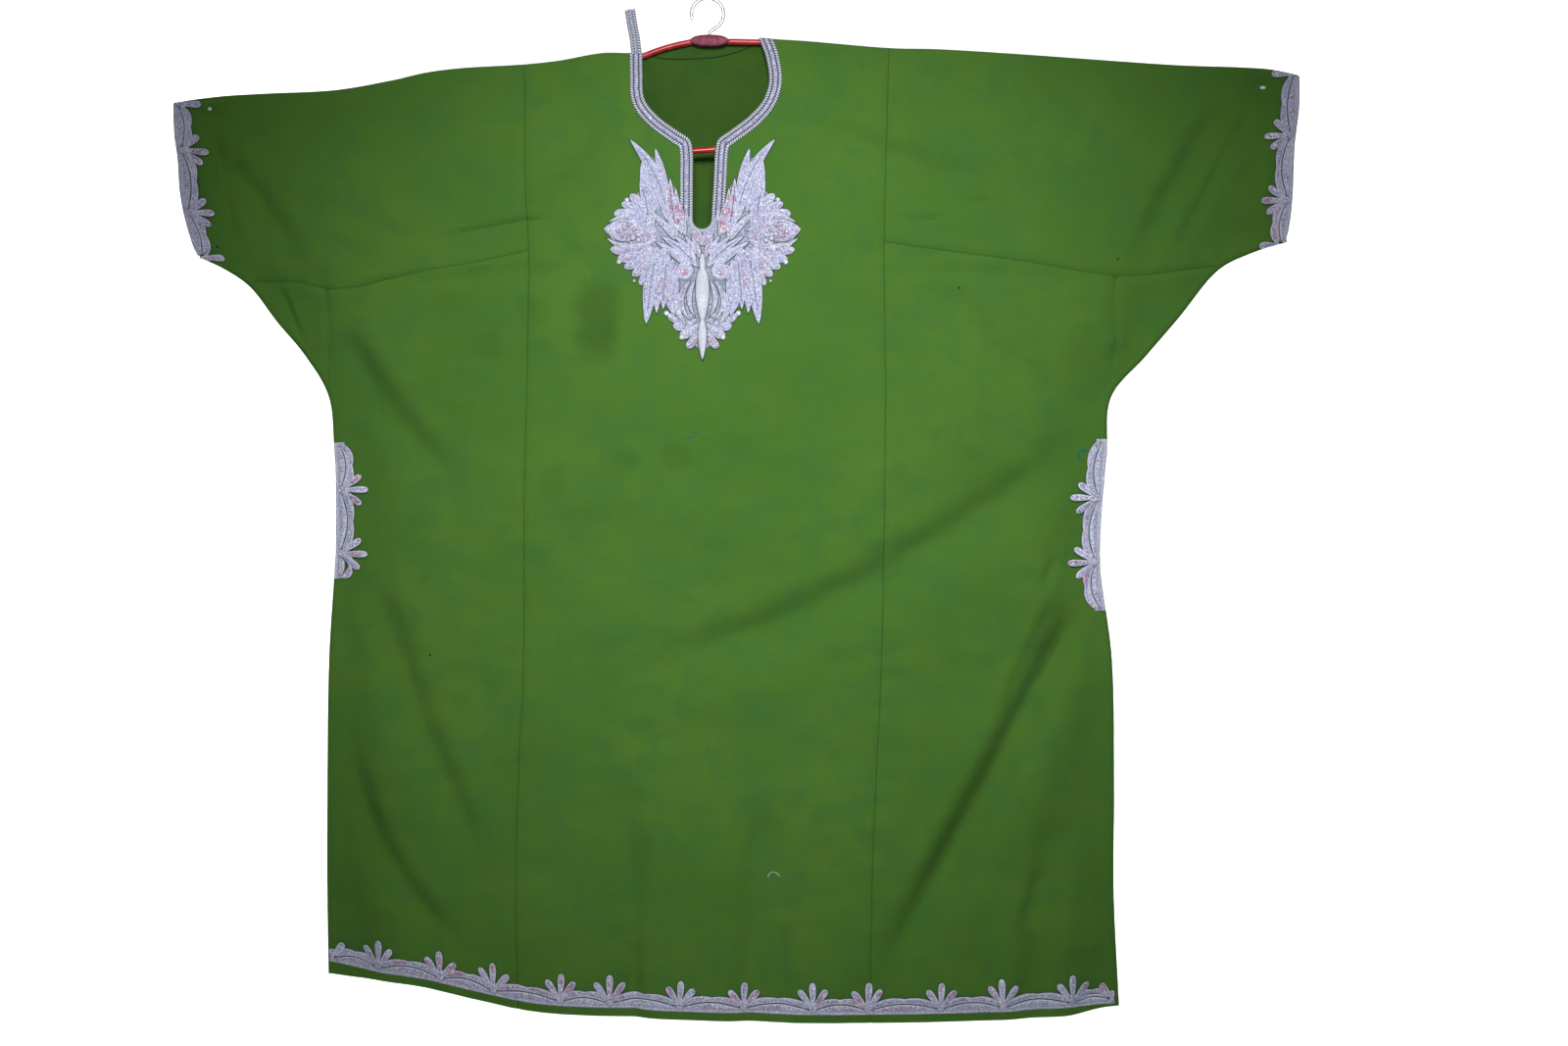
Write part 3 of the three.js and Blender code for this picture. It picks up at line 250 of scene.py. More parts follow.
def through(rows):
    """Smooth value through rows of (position, value), the positions rising."""
    at, value = np.array(rows, float).T
    slope = np.empty_like(value)
    slope[1:-1] = (value[2:] - value[:-2]) / (at[2:] - at[:-2])
    slope[0] = (value[1] - value[0]) / (at[1] - at[0])
    slope[-1] = (value[-1] - value[-2]) / (at[-1] - at[-2])

    def read(position):
        position = np.asarray(position, float)
        low = np.clip(np.searchsorted(at, position) - 1, 0, len(at) - 2)
        span = at[low + 1] - at[low]
        t = np.clip((position - at[low]) / span, 0, 1)
        square, cube = t * t, t * t * t
        return (
            (2 * cube - 3 * square + 1) * value[low]
            + (cube - 2 * square + t) * span * slope[low]
            + (3 * square - 2 * cube) * value[low + 1]
            + (cube - square) * span * slope[low + 1]
        )

    return read


def centripetal(rows, t):
    """Points of a centripetal Catmull-Rom curve at t from 0 to 1, the rows evenly spaced in t."""
    rows = np.asarray(rows, float)
    last = len(rows) - 1
    at = np.clip(np.atleast_1d(np.asarray(t, float)), 0, 1) * last
    low = np.minimum(at.astype(int), last - 1)
    weight = (at - low)[:, None]
    padded = np.vstack([2 * rows[0] - rows[1], rows, 2 * rows[-1] - rows[-2]])
    before, start, end, after = (padded[low + k] for k in range(4))
    first, gap, final = (
        np.maximum(np.sqrt(np.linalg.norm(b - a, axis=1)), 1e-6)[:, None]
        for a, b in ((before, start), (start, end), (end, after))
    )
    leave = (start - before) / first - (end - before) / (first + gap) + (end - start) / gap
    reach = (end - start) / gap - (after - start) / (gap + final) + (after - end) / final
    leave, reach = leave * gap, reach * gap
    square = (3 * (end - start) - 2 * leave - reach) * weight**2
    return start + leave * weight + square + (2 * (start - end) + leave + reach) * weight**3


def line_distance(x, z, line):
    """Each point's distance from a polyline, how far along it is nearest, and where."""
    x, z = np.ravel(x), np.ravel(z)
    best, place, near = np.full(x.shape, np.inf), np.zeros(x.shape), np.zeros((len(x), 2))
    count = len(line) - 1
    for index, (start, end) in enumerate(zip(line[:-1], line[1:])):
        step = end - start
        along = ((x - start[0]) * step[0] + (z - start[1]) * step[1]) / (step @ step)
        along = np.clip(along, 0, 1)
        foot = start + along[:, None] * step
        distance = np.hypot(x - foot[:, 0], z - foot[:, 1])
        closer = distance < best
        best = np.where(closer, distance, best)
        place = np.where(closer, (index + along) / count, place)
        near[closer] = foot[closer]
    return best, place, near


top_z = through(TOP)
hem_z = through(HEM)


# ---- each half of the outline ----


class Half:
    def __init__(self, name):
        self.name = name
        self.sign = -1.0 if name == "left" else 1.0
        self.rows = np.array(LOWER[name], float)
        last = len(self.rows) - 1
        self.tip = TIP_ROW / last
        self.side = SIDE_ROW / last
        self.line = centripetal(self.rows, np.linspace(0, 1, 121))
        self.cuff_x = through(CUFF[name])
        self.seam_x = through(CENTRE_SEAM[name])
        self.sleeve_z = through(SLEEVE_SEAM[name])

    def edge(self, where):
        """Outline points and inward directions at places from 0 at the cuff to 1 at the hem."""
        where, step = np.asarray(where, float), 1e-4
        tangent = centripetal(self.rows, where + step) - centripetal(self.rows, where - step)
        return centripetal(self.rows, where), self.sign * unit(tangent)[:, ::-1] * (1, -1)

    def at_height(self, z):
        places = np.linspace(self.side, 1, 400)
        heights = centripetal(self.rows, places)[:, 1]
        return np.interp(-np.asarray(z, float), -heights, places)

    def face(self, where):
        """Points where the flat face begins, a fold's radius in from the outline."""
        point, inward = self.edge(where)
        return point + inward * FOLD_RADIUS


HALVES = {name: Half(name) for name in ("left", "right")}
SIDES = (("front", -1), ("back", 1))


# ---- how deep the hanging cloth stands from the middle plane ----


def bend_line(row, count=28):
    t = np.linspace(0, 1, count + 1)[:, None]
    start, bend, end = (np.array(row[k : k + 2], float) for k in (0, 2, 4))
    return (1 - t) ** 2 * start + 2 * (1 - t) * t * bend + t**2 * end


def trough(row, x, z):
    """A trough with a low ridge on each side, fading at its ends."""
    line = bend_line(row)
    width, depth = row[6], row[7]
    reach = TROUGH_REACH * width
    low, high = line.min(axis=0) - reach, line.max(axis=0) + reach
    inside = (x > low[0]) & (x < high[0]) & (z > low[1]) & (z < high[1])
    result = np.zeros(x.shape)
    if inside.any():
        distance, place, near = line_distance(x[inside], z[inside], line)
        chord = line[-1] - line[0]
        aside = chord[0] * (z[inside] - near[:, 1]) - chord[1] * (x[inside] - near[:, 0])
        upper = aside * np.sign(chord[0]) > 0
        across = distance / (width * np.where(upper, STEEP_SIDE, GENTLE_SIDE))
        fade = ramp(place / FOLD_FADE[0]) * ramp((1 - place) / FOLD_FADE[1])
        result[inside] = depth * fade * (1 - RIDGE * across**2) * np.exp(-(across**2))
    return result


def ripples(x, z, seed, shortest, longest, count=14):
    """Uneven waves of height about 1 with lengths in a range."""
    random = np.random.default_rng(seed)
    total = np.zeros(np.shape(x))
    for _ in range(count):
        turn = random.uniform(0, 2 * math.pi)
        length = random.uniform(shortest, longest)
        phase = random.uniform(0, 2 * math.pi)
        total += np.sin(2 * math.pi * (x * math.cos(turn) + z * math.sin(turn)) / length + phase)
    return total / math.sqrt(count)


def seam_lines(x, z):
    """Distance across each seam, distance along it, and where it runs."""
    for half in HALVES.values():
        foot = half.sleeve_z(half.seam_x(SEAM_FOOT))
        yield x - half.seam_x(z), z, np.ones(x.shape, bool), half
        beyond = half.sign * x > half.sign * half.seam_x(foot) - 1
        short_of_tip = half.sign * x < half.sign * half.rows[TIP_ROW, 0] + 1
        yield z - half.sleeve_z(x), x, beyond & short_of_tip, half
        yield x - SIDE_CORNER[half.name], z, (z < half.sleeve_z(x) + 1) & (z > GUSSET_FOOT), half


def seam_distance(x, z):
    nearest = np.full(x.shape, SEAM_FAR)
    for across, _, there, _ in seam_lines(x, z):
        nearest = np.where(there, np.minimum(nearest, np.abs(across)), nearest)
    return nearest


def seam_relief(x, z):
    """Grooves at the seams, with the turned-in edge beside them and small puckers along them."""
    relief = np.zeros(x.shape)
    for across, along, there, half in seam_lines(x, z):
        puckers = ripples(along, across * 0.3, PUCKER_SEED, *PUCKER_WAVES)
        shape = bell(across, *SEAM_GROOVE) + bell(half.sign * across, *SEAM_ALLOWANCE)
        relief += np.where(there, shape + puckers * bell(across, *SEAM_PUCKER), 0)
    return relief


def half_depth(side, x, z):
    """How far the cloth's outer face stands from the middle plane, front (-1) or back (+1)."""
    shape = np.shape(x)
    x, z = np.ravel(x).astype(float), np.ravel(z).astype(float)
    from_top = np.maximum(top_z(x) - z, 0)
    from_sides = np.minimum(*(line_distance(x, z, half.line)[0] for half in HALVES.values()))
    body = mix(BODY_DEPTH, HEM_DEPTH, ramp((-z - FLARE[0]) / FLARE[1]))
    full = mix(body, CUFF_DEPTH, ramp((np.abs(x) - TAPER[0]) / TAPER[1]))
    swell = (full - FOLD_RADIUS) * ramp(from_top / TOP_REACH) * ramp(from_sides / SIDE_REACH)
    inward = np.minimum(from_top, from_sides) - FOLD_RADIUS
    seed, folds, creases = HANG[side]
    gentle = seam_relief(x, z)
    for pin_x, pin_z in PINS.values() if side < 0 else ():
        gentle -= bell(np.hypot(x - pin_x, z - pin_z), *PIN_DIMPLE)
    for height, step, shortest, longest in UNEVEN:
        gentle += height * ripples(x, z, seed + step, shortest, longest)
    for row in creases:
        gentle -= trough(row, x, z)
    troughs = sum(trough(row, x, z) for row in folds) * ramp(inward / FOLD_REACH)
    return (FOLD_RADIUS + swell - troughs + gentle * ramp(inward / CREASE_REACH)).reshape(shape)


# ---- grids of cloth points ----


class Grid:
    """Rows of cloth points: flat faces, or a roll at an angle from the outline."""

    def __init__(self, x, z, side, angle=None, inward=None):
        self.x = np.atleast_2d(np.asarray(x, float))
        self.z = np.atleast_2d(np.asarray(z, float))
        shape = self.x.shape
        self.side = np.full(shape, float(side))
        self.angle = np.full(shape, np.nan)
        if angle is not None:
            self.angle[:] = angle
        self.inward = np.zeros(shape + (2,))
        if inward is not None:
            self.inward[:] = inward
        self.there = np.ones(shape, bool)

    @classmethod
    def roll(cls, point, inward, angle, side, shift=(0.0, 0.0)):
        """One row on an edge roll; angle and shift may differ from point to point."""
        reach = FOLD_RADIUS * (1 - np.cos(np.radians(angle)))
        spot = point + inward * np.broadcast_to(reach, (len(point),))[:, None] + shift
        return cls(spot[:, 0], spot[:, 1], side, angle, inward)

    @staticmethod
    def joined(grids, axis=0):
        whole = Grid.__new__(Grid)
        for key in ("x", "z", "side", "angle", "inward", "there"):
            setattr(whole, key, np.concatenate([getattr(grid, key) for grid in grids], axis=axis))
        return whole


def lifted(grid, lift):
    """Where the grid's points lie, in metres, lifted off the cloth's outer surface."""
    y = np.zeros(grid.x.shape)
    x, z = grid.x.copy(), grid.z.copy()
    flat = np.isnan(grid.angle)
    for side in (-1.0, 1.0):
        pick = flat & (grid.side == side)
        if pick.any():
            y[pick] = side * (half_depth(side, grid.x[pick], grid.z[pick]) + lift)
    turn = np.radians(np.where(flat, 90.0, grid.angle))
    outward = np.where(flat, 0.0, lift * np.cos(turn))
    x -= grid.inward[..., 0] * outward
    z -= grid.inward[..., 1] * outward
    y = np.where(flat, y, grid.side * (FOLD_RADIUS + lift) * np.sin(turn))
    return np.stack([x, y, z], axis=-1) * MM


def grid_faces(grid):
    rows, columns = grid.x.shape
    index = np.arange(rows * columns).reshape(rows, columns)
    quads = np.stack([index[:-1, :-1], index[:-1, 1:], index[1:, 1:], index[1:, :-1]], axis=-1)
    there = grid.there
    whole = there[:-1, :-1] & there[:-1, 1:] & there[1:, 1:] & there[1:, :-1]
    return quads[whole].reshape(-1, 4)


def closed_wall(high, low, faces):
    """Vertices and faces of a wall between two surfaces that share their faces."""
    count = len(high)
    faces = [tuple(int(v) for v in face) for face in faces]
    edges = {}
    for face in faces:
        for start, end in zip(face, face[1:] + face[:1]):
            if (end, start) in edges:
                del edges[(end, start)]
            else:
                edges[(start, end)] = True
    rim = [(end, start, start + count, end + count) for start, end in edges]
    under = [tuple(v + count for v in reversed(face)) for face in faces]
    return np.vstack([high, low]), faces + under + rim


def round_faces(rows, around):
    """Faces between rows of points that each go right round, with a cap at both ends."""
    faces = [
        (low + k, low + (k + 1) % around, low + around + (k + 1) % around, low + around + k)
        for low in range(0, (rows - 1) * around, around) for k in range(around)
    ]
    last = (rows - 1) * around
    return faces + [tuple(reversed(range(around))), tuple(range(last, last + around))]


def make_mesh(name, vertices, faces, sharp_degrees=40.0):
    """A smooth closed mesh, its faces turned outwards and its unused points dropped."""
    mesh = bpy.data.meshes.new(name)
    mesh.from_pydata(vertices.tolist(), [], faces)
    mesh.validate()
    work = bmesh.new()
    work.from_mesh(mesh)
    if work.calc_volume(signed=True) < 0:
        bmesh.ops.reverse_faces(work, faces=work.faces)
    loose = [vertex for vertex in work.verts if not vertex.link_faces]
    bmesh.ops.delete(work, geom=loose, context="VERTS")
    work.to_mesh(mesh)
    work.free()
    mesh.polygons.foreach_set("use_smooth", [True] * len(mesh.polygons))
    mesh.set_sharp_from_angle(angle=math.radians(sharp_degrees))
    piece = bpy.data.objects.new(name, mesh)
    bpy.context.scene.collection.objects.link(piece)
    return piece


def dressed(piece, slot, nodes, *materials):
    """Give a piece its materials, its body and the nodes that it replaces; its slot is not used."""
    for material in materials:
        piece.data.materials.append(material)
    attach(piece, "root")
    if nodes:
        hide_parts(*nodes)
    return piece


def set_marks(mesh, marks):
    """Store a number for each point under each name, for the materials to read."""
    for name, values in marks.items():
        made = mesh.attributes.new(name, "FLOAT", "POINT")
        made.data.foreach_set("value", values.astype(np.float32))


# ---- patches of flat points ----


def patch(top, bottom, inner, outer):
    """A grid inside four lines, its rows from top to bottom and its columns from inner to outer."""
    columns, rows = len(top), len(inner)
    u = np.linspace(0, 1, columns)[None, :, None]
    v = np.linspace(0, 1, rows)[:, None, None]
    across = mix(inner[:, None, :], outer[:, None, :], u)
    down = mix(top[None], bottom[None], v)
    corners = mix(mix(top[0], top[-1], u), mix(bottom[0], bottom[-1], u), v)
    whole = across + down - corners
    whole[0], whole[-1], whole[:, 0], whole[:, -1] = top, bottom, inner, outer
    return whole


def shoulder(x):
    return points(x, top_z(x) - FOLD_RADIUS)


def seam_head(half):
    return shoulder(half.seam_x(SEAM_HEAD))


def seam_foot(half):
    x = half.seam_x(SEAM_FOOT)
    return points(x, half.sleeve_z(x))


def corner_point(half):
    x = SIDE_CORNER[half.name]
    return points(x, half.sleeve_z(x))


def body_line(start_z, join_z, end_z):
    yoke = np.linspace(start_z, join_z, GUSSET_STEPS + 1)
    return np.concatenate([yoke, np.linspace(join_z, end_z, SKIRT_ROWS + 1)[1:]])


# ---- sleeves ----


def sleeve_face(half):
    down = np.linspace(0, 1, SLEEVE_ROWS + 1)
    head, foot = seam_head(half), seam_foot(half)
    inner_z = mix(head[1], foot[1], down)
    inner = points(half.seam_x(inner_z), inner_z)
    corner, tip = corner_point(half), half.face(half.tip)[0]

    def line_down(bottom):
        return mix(shoulder(bottom[0])[None], bottom[None], down[:, None])

    corner_line, tip_line = line_down(corner), line_down(tip)
    cuff_end = half.face(0)[0]
    cuff_top_x = float(half.cuff_x(top_z(half.sign * 600)))
    cuff_z = mix(float(top_z(cuff_top_x)) - FOLD_RADIUS, cuff_end[1], down)
    cuff_line = points(half.cuff_x(cuff_z), cuff_z)
    cuff_line[-1] = cuff_end

    def top_between(from_x, to_x, count):
        return shoulder(np.linspace(from_x, to_x, count + 1))

    def seam_between(start, end, count):
        x = np.linspace(start[0], end[0], count + 1)
        line = points(x, half.sleeve_z(x))
        line[-1] = end
        return line

    under = half.face(np.linspace(half.tip, 0, CUFF_COLUMNS + 1))
    parts = [
        patch(
            top_between(inner[0, 0], corner[0], SIDE_COLUMNS),
            seam_between(foot, corner, SIDE_COLUMNS), inner, corner_line,
        ),
        patch(
            top_between(corner[0], tip[0], GUSSET_STEPS),
            seam_between(corner, tip, GUSSET_STEPS), corner_line, tip_line,
        )[:, 1:],
        patch(top_between(tip[0], cuff_top_x, CUFF_COLUMNS), under, tip_line, cuff_line)[:, 1:],
    ]
    return np.concatenate(parts, axis=1)


def sleeve_grid(half):
    """The sleeve from under the arm in front, up over the top and down the back."""
    face = sleeve_face(half)
    gap = SEAM_GAP / 2
    tip_column = SIDE_COLUMNS + GUSSET_STEPS
    face[:, 0, 0] += half.sign * gap
    face[-1, : tip_column + 1, 1] += gap
    face[-1, tip_column, 0] += half.sign * gap
    columns = face.shape[1]
    top_edge = points(face[0, :, 0], top_z(face[0, :, 0]))
    down = np.tile([0.0, -1.0], (columns, 1))
    under_places = np.concatenate([
        np.full(tip_column, half.tip), np.linspace(half.tip, 0, CUFF_COLUMNS + 1),
    ])
    under_edge, under_inward = half.edge(under_places)

    def top_rolls(side, angles):
        return [Grid.roll(top_edge, down, angle, side) for angle in angles]

    def under_rolls(side, angles):
        grids = [Grid.roll(under_edge, under_inward, angle, side) for angle in angles]
        for grid in grids:
            grid.there[0, :tip_column] = False
            grid.x[0, tip_column] += half.sign * gap
            grid.z[0, tip_column] += gap
        return grids

    rising = (SEAM_ANGLE,) + ROLL_ANGLES
    return Grid.joined([
        *under_rolls(-1, rising),
        Grid(face[::-1, :, 0], face[::-1, :, 1], -1),
        *top_rolls(-1, ROLL_ANGLES[::-1]), *top_rolls(1, (0.0,) + ROLL_ANGLES),
        Grid(face[:, :, 0], face[:, :, 1], 1),
        *under_rolls(1, rising[::-1]),
    ])


# ---- body panels ----


def seam_line(half, with_yoke):
    head, foot = seam_head(half), seam_foot(half)
    hem_height = float(hem_z(half.seam_x(SEAM_HEM)))
    join = half.face(half.side)[0]
    z = body_line(foot[1], join[1], hem_height)
    if with_yoke:
        z = np.concatenate([np.linspace(head[1], foot[1], SLEEVE_ROWS + 1)[:-1], z])
    return points(half.seam_x(z), z)


def centre_grid(side):
    left, right = (seam_line(HALVES[name], True) for name in ("left", "right"))
    top = shoulder(np.linspace(left[0, 0], right[0, 0], CENTRE_COLUMNS + 1))
    x = np.linspace(left[-1, 0], right[-1, 0], CENTRE_COLUMNS + 1)
    face = patch(top, points(x, hem_z(x)), left, right)
    face[:, 0, 0] += SEAM_GAP / 2
    face[:, -1, 0] -= SEAM_GAP / 2
    edge = points(face[0, :, 0], top_z(face[0, :, 0]))
    down = np.tile([0.0, -1.0], (len(edge), 1))
    rolls = [Grid.roll(edge, down, angle, side) for angle in (SEAM_ANGLE,) + ROLL_ANGLES]
    return Grid.joined([*rolls, Grid(face[..., 0], face[..., 1], side)])


def slit_angle(half, z):
    pocket = POCKET[half.name]
    along = (pocket["slit_top"] - z) / (pocket["slit_top"] - pocket["slit_bottom"])
    open_here = np.clip(np.sin(np.pi * np.clip(along, 0, 1)), 0, 1) ** 0.5
    gape = np.where((along > 0) & (along < 1), POCKET_GAPE * open_here, 0)
    return np.maximum(SEAM_ANGLE, np.degrees(np.arcsin(gape / FOLD_RADIUS)))


def side_grid(half, side):
    gap = SEAM_GAP / 2
    inner = seam_line(half, False)
    corner, foot = corner_point(half), seam_foot(half)
    join, end = half.face(half.side)[0], half.face(1.0)[0]
    outer_z = body_line(corner[1], join[1], end[1])
    places = half.at_height(outer_z)
    places[-1] = 1.0
    outer = half.face(places)
    yoke = np.linspace(0, 1, GUSSET_STEPS + 1)[:, None]
    outer[: GUSSET_STEPS + 1] = mix(corner[None], join[None], yoke)
    top_x = np.linspace(foot[0], corner[0], SIDE_COLUMNS + 1)
    bottom_x = np.linspace(inner[-1, 0], end[0], SIDE_COLUMNS + 1)
    bottom = points(bottom_x, hem_z(bottom_x))
    near_corner = ramp(1 - np.abs(bottom_x - end[0]) / HEM_CORNER)
    bottom[:, 1] += near_corner * (end[1] - hem_z(end[0]))
    bottom[0], bottom[-1] = inner[-1], end
    face = patch(points(top_x, half.sleeve_z(top_x)), bottom, inner, outer)
    face[:, 0, 0] += half.sign * gap
    face[: GUSSET_STEPS + 1, -1, 0] -= half.sign * gap
    face[0, :, 1] -= gap
    face[GUSSET_STEPS, -1, 1] -= gap
    flat = Grid(face[..., 0], face[..., 1], side)
    edge, inward = half.edge(np.maximum(places, half.side))
    end_angle = slit_angle(half, edge[:, 1])
    rolls = []
    for share in np.linspace(0, 1, len(ROLL_ANGLES) + 2)[1:]:
        row = Grid.roll(edge, inward, mix(90.0, end_angle, share), side)
        row.there[0, :GUSSET_STEPS] = False
        row.z[0, GUSSET_STEPS] -= gap
        for key in ("x", "z", "side", "angle", "there"):
            setattr(row, key, getattr(row, key).T)
        row.inward = row.inward.transpose(1, 0, 2)
        rolls.append(row)
    return Grid.joined([flat, *rolls], axis=1)


# ---- gussets ----


def gusset_parts(half):
    """Points and faces of a square folded corner to corner: front triangle, roll, back triangle."""
    gap = SEAM_GAP / 2
    steps = GUSSET_STEPS
    corner, tip = corner_point(half), half.face(half.tip)[0]
    join = half.face(half.side)[0]
    edge, inward = half.edge(np.linspace(half.tip, half.side, steps + 1))
    end_shift = np.zeros((steps + 1, 2))
    end_shift[0] = (-half.sign * gap, -gap)
    end_shift[-1] = (half.sign * gap, gap)

    def lattice(side):
        rows = []
        for row in range(steps):
            share = row / steps
            seam_x = mix(corner[0], tip[0], share)
            start, finish = points(seam_x, half.sleeve_z(seam_x)), mix(corner, join, share)
            along = np.linspace(0, 1, row + 1)[:, None] if row else np.zeros((1, 1))
            line = mix(start[None], finish[None], along)
            line[0, 1] -= gap
            line[-1, 0] += half.sign * gap
            rows.append(Grid(line[:, 0], line[:, 1], side))
        line = edge + inward * FOLD_RADIUS + end_shift
        rows.append(Grid(line[:, 0], line[:, 1], side))
        return rows

    def roll(angle, side):
        return Grid.roll(edge, inward, angle, side, end_shift)

    front, back = lattice(-1), lattice(1)
    over = [roll(a, -1) for a in ROLL_ANGLES[::-1]] + [roll(a, 1) for a in (0.0,) + ROLL_ANGLES]
    rows = front + over + back[::-1]
    starts = np.cumsum([0] + [row.x.shape[1] for row in rows])
    faces = []
    for index in range(len(rows) - 1):
        here, after = starts[index], starts[index + 1]
        size, after_size = rows[index].x.shape[1], rows[index + 1].x.shape[1]
        if size == after_size:
            faces += [(here + k, here + k + 1, after + k + 1, after + k) for k in range(size - 1)]
        elif size < after_size:
            faces += [(here + k, after + k + 1, after + k) for k in range(size)]
            faces += [(here + k, here + k + 1, after + k + 1) for k in range(size - 1)]
        else:
            faces += [(here + k, here + k + 1, after + k) for k in range(after_size)]
            faces += [(here + k + 1, after + k + 1, after + k) for k in range(after_size - 1)]
    return rows, faces


# ---- the neck hole ----


def neck_line(per_row=8):
    """The edge of the neck hole, down the left, round the slit's end and up the right."""
    sides = []
    for name in ("left", "right"):
        rows = NECK[name]
        sides.append(centripetal(rows, np.linspace(0, 1, per_row * (len(rows) - 1) + 1)))
    left, right = sides
    radius = (right[-1, 0] - left[-1, 0]) / 2
    turn = np.pi * np.linspace(0, 1, 17)[1:-1]
    end = points(left[-1, 0] + radius - radius * np.cos(turn), left[-1, 1] - radius * np.sin(turn))
    return np.vstack([left, end, right[::-1]])


def back_neck_line():
    (left, right), (low, high) = NECK_SIDES, BACK_NECK_ENDS
    tube = sorted(p for p in HANGER if left < p[0] < right and p[1] > low)
    ends = (left, NECK_ABOVE), (left, low), (right, high), (right, NECK_ABOVE)
    return np.array([*ends[:2], *tube, *ends[2:]], float)


def inside(outline, x, z):
    """Which points lie inside a closed outline."""
    result = np.zeros(np.shape(x), bool)
    for (ax, az), (bx, bz) in zip(outline, np.roll(outline, -1, axis=0)):
        crosses = (az > z) != (bz > z)
        if bz != az:
            result ^= crosses & (x < (bx - ax) * (z - az) / (bz - az) + ax)
    return result


def cut_along(outline, x, z, faces, keep, movable=True):
    """The faces inside an outline or outside it, their rim of points drawn onto it."""
    within = inside(outline, x[faces].mean(axis=1), z[faces].mean(axis=1))
    rim = np.intersect1d(faces[within], faces[~within])
    rim = rim[np.broadcast_to(movable, x.shape)[rim]]
    x[rim], z[rim] = line_distance(x[rim], z[rim], outline)[2].T
    return faces[within if keep == "inside" else ~within]


# ---- materials ----


class Stuff:
    """A material under way. Each method adds one node and gives back its output."""

    def __init__(self, name):
        self.made = bpy.data.materials.new(name)
        self.made.use_nodes = True
        self.nodes = self.made.node_tree.nodes
        self.place = self.nodes.new("ShaderNodeTexCoord").outputs["Object"]

    def feed(self, socket, value):
        """Link an output to a socket, or set the socket to a number or a colour."""
        if hasattr(value, "links"):
            self.made.node_tree.links.new(value, socket)
        else:
            socket.default_value = value if isinstance(value, (int, float)) else (*value, 1.0)

    def node(self, kind, inputs, **settings):
        """A node with its settings and its inputs by name or number."""
        made = self.nodes.new("ShaderNode" + kind)
        for name, value in settings.items():
            setattr(made, name, value)
        for key, value in inputs.items():
            self.feed(made.inputs[key], value)
        return made.outputs

    def noise(self, scale, detail=2.0, roughness=0.5, distortion=0.0):
        return self.node("TexNoise", {
            "Vector": self.place, "Scale": scale, "Detail": detail, "Roughness": roughness,
            "Distortion": distortion,
        })

    def band(self, value, low, high, out_low=0.0, out_high=1.0):
        return self.node("MapRange", {
            "Value": value, "From Min": low, "From Max": high, "To Min": out_low,
            "To Max": out_high,
        }, interpolation_type="SMOOTHSTEP")["Result"]

    def blend(self, factor, first, second, kind="MIX"):
        inputs = {0: factor, 6: first, 7: second}
        return self.node("Mix", inputs, data_type="RGBA", blend_type=kind)[2]

    def math(self, kind, *values):
        return self.node("Math", dict(enumerate(values)), operation=kind)[0]

    def mark(self, name):
        return self.node("Attribute", {}, attribute_name=name)["Fac"]

    def spot(self, where, centre, radii):
        """1 in the middle of an oval on the cloth and 0 outside it, sizes in millimetres."""
        move = self.nodes.new("ShaderNodeMapping")
        move.vector_type = "TEXTURE"
        move.inputs["Location"].default_value = (centre[0] * MM, 0, centre[1] * MM)
        move.inputs["Scale"].default_value = (radii[0] * MM, THROUGH, radii[1] * MM)
        self.feed(move.inputs["Vector"], where)
        length = self.node("VectorMath", {0: move.outputs["Vector"]}, operation="LENGTH")["Value"]
        return self.band(length, 1.0, 0.35)

    def finish(self, colour, height, strength, distance, **inputs):
        """Set the shader's colour, its bump with its depth in metres, and its other inputs."""
        bump = self.node("Bump", {"Strength": strength, "Distance": distance, "Height": height})
        return self.set(Base_Color=colour, Normal=bump["Normal"], **inputs)

    def set(self, **inputs):
        for name, value in inputs.items():
            self.feed(self.nodes["Principled BSDF"].inputs[name.replace("_", " ")], value)
        return self.made


THROUGH = 100.0                 # how far a mark reaches through the cloth, so far that it's flat
WOOL_TONES = (
    (0.066, 0.178, 0.024), (0.082, 0.198, 0.027), (0.054, 0.172, 0.034), (0.108, 0.25, 0.05),
)
STAIN_TONE, TEAL_TONE, SPECK_TONE = (0.02, 0.055, 0.01), (0.02, 0.15, 0.13), (0.01, 0.015, 0.01)
# The seam tone is partly stitching and partly painted shade in the seam's groove.
SEAM_SHADE_TONE = (0.014, 0.045, 0.009)
# The white tone is for glints painted onto the metal thread.
GLINT_WHITE_TONE, RIM_TONE = (0.93, 0.95, 1.0), (0.82, 0.87, 1.0)

# marks on the front: middle x, z, radii and, for a stain, how dark it is
STAINS = (
    ((-123, -363), (38, 58), 0.36), ((-96, -517), (26, 24), 0.16), ((-35, -512), (24, 24), 0.12),
    ((-195, -352), (26, 22), 0.15), ((-244, -390), (26, 24), 0.13), ((-173, -539), (28, 24), 0.12),
    ((-74, -946), (26, 24), 0.1), ((300, -520), (45, 30), 0.08),
)
TEAL_MARKS = (
    ((-18.7, -491.7), (5, 2)), ((-12, -486), (3, 2)), ((421, -506), (6, 3)),
    ((416, -512), (2.5, 8)),
)
SPECKS = ((-549, -278), (458, -293), (-308, -734), (280.5, -325))
SPECK_RADIUS = 1.8


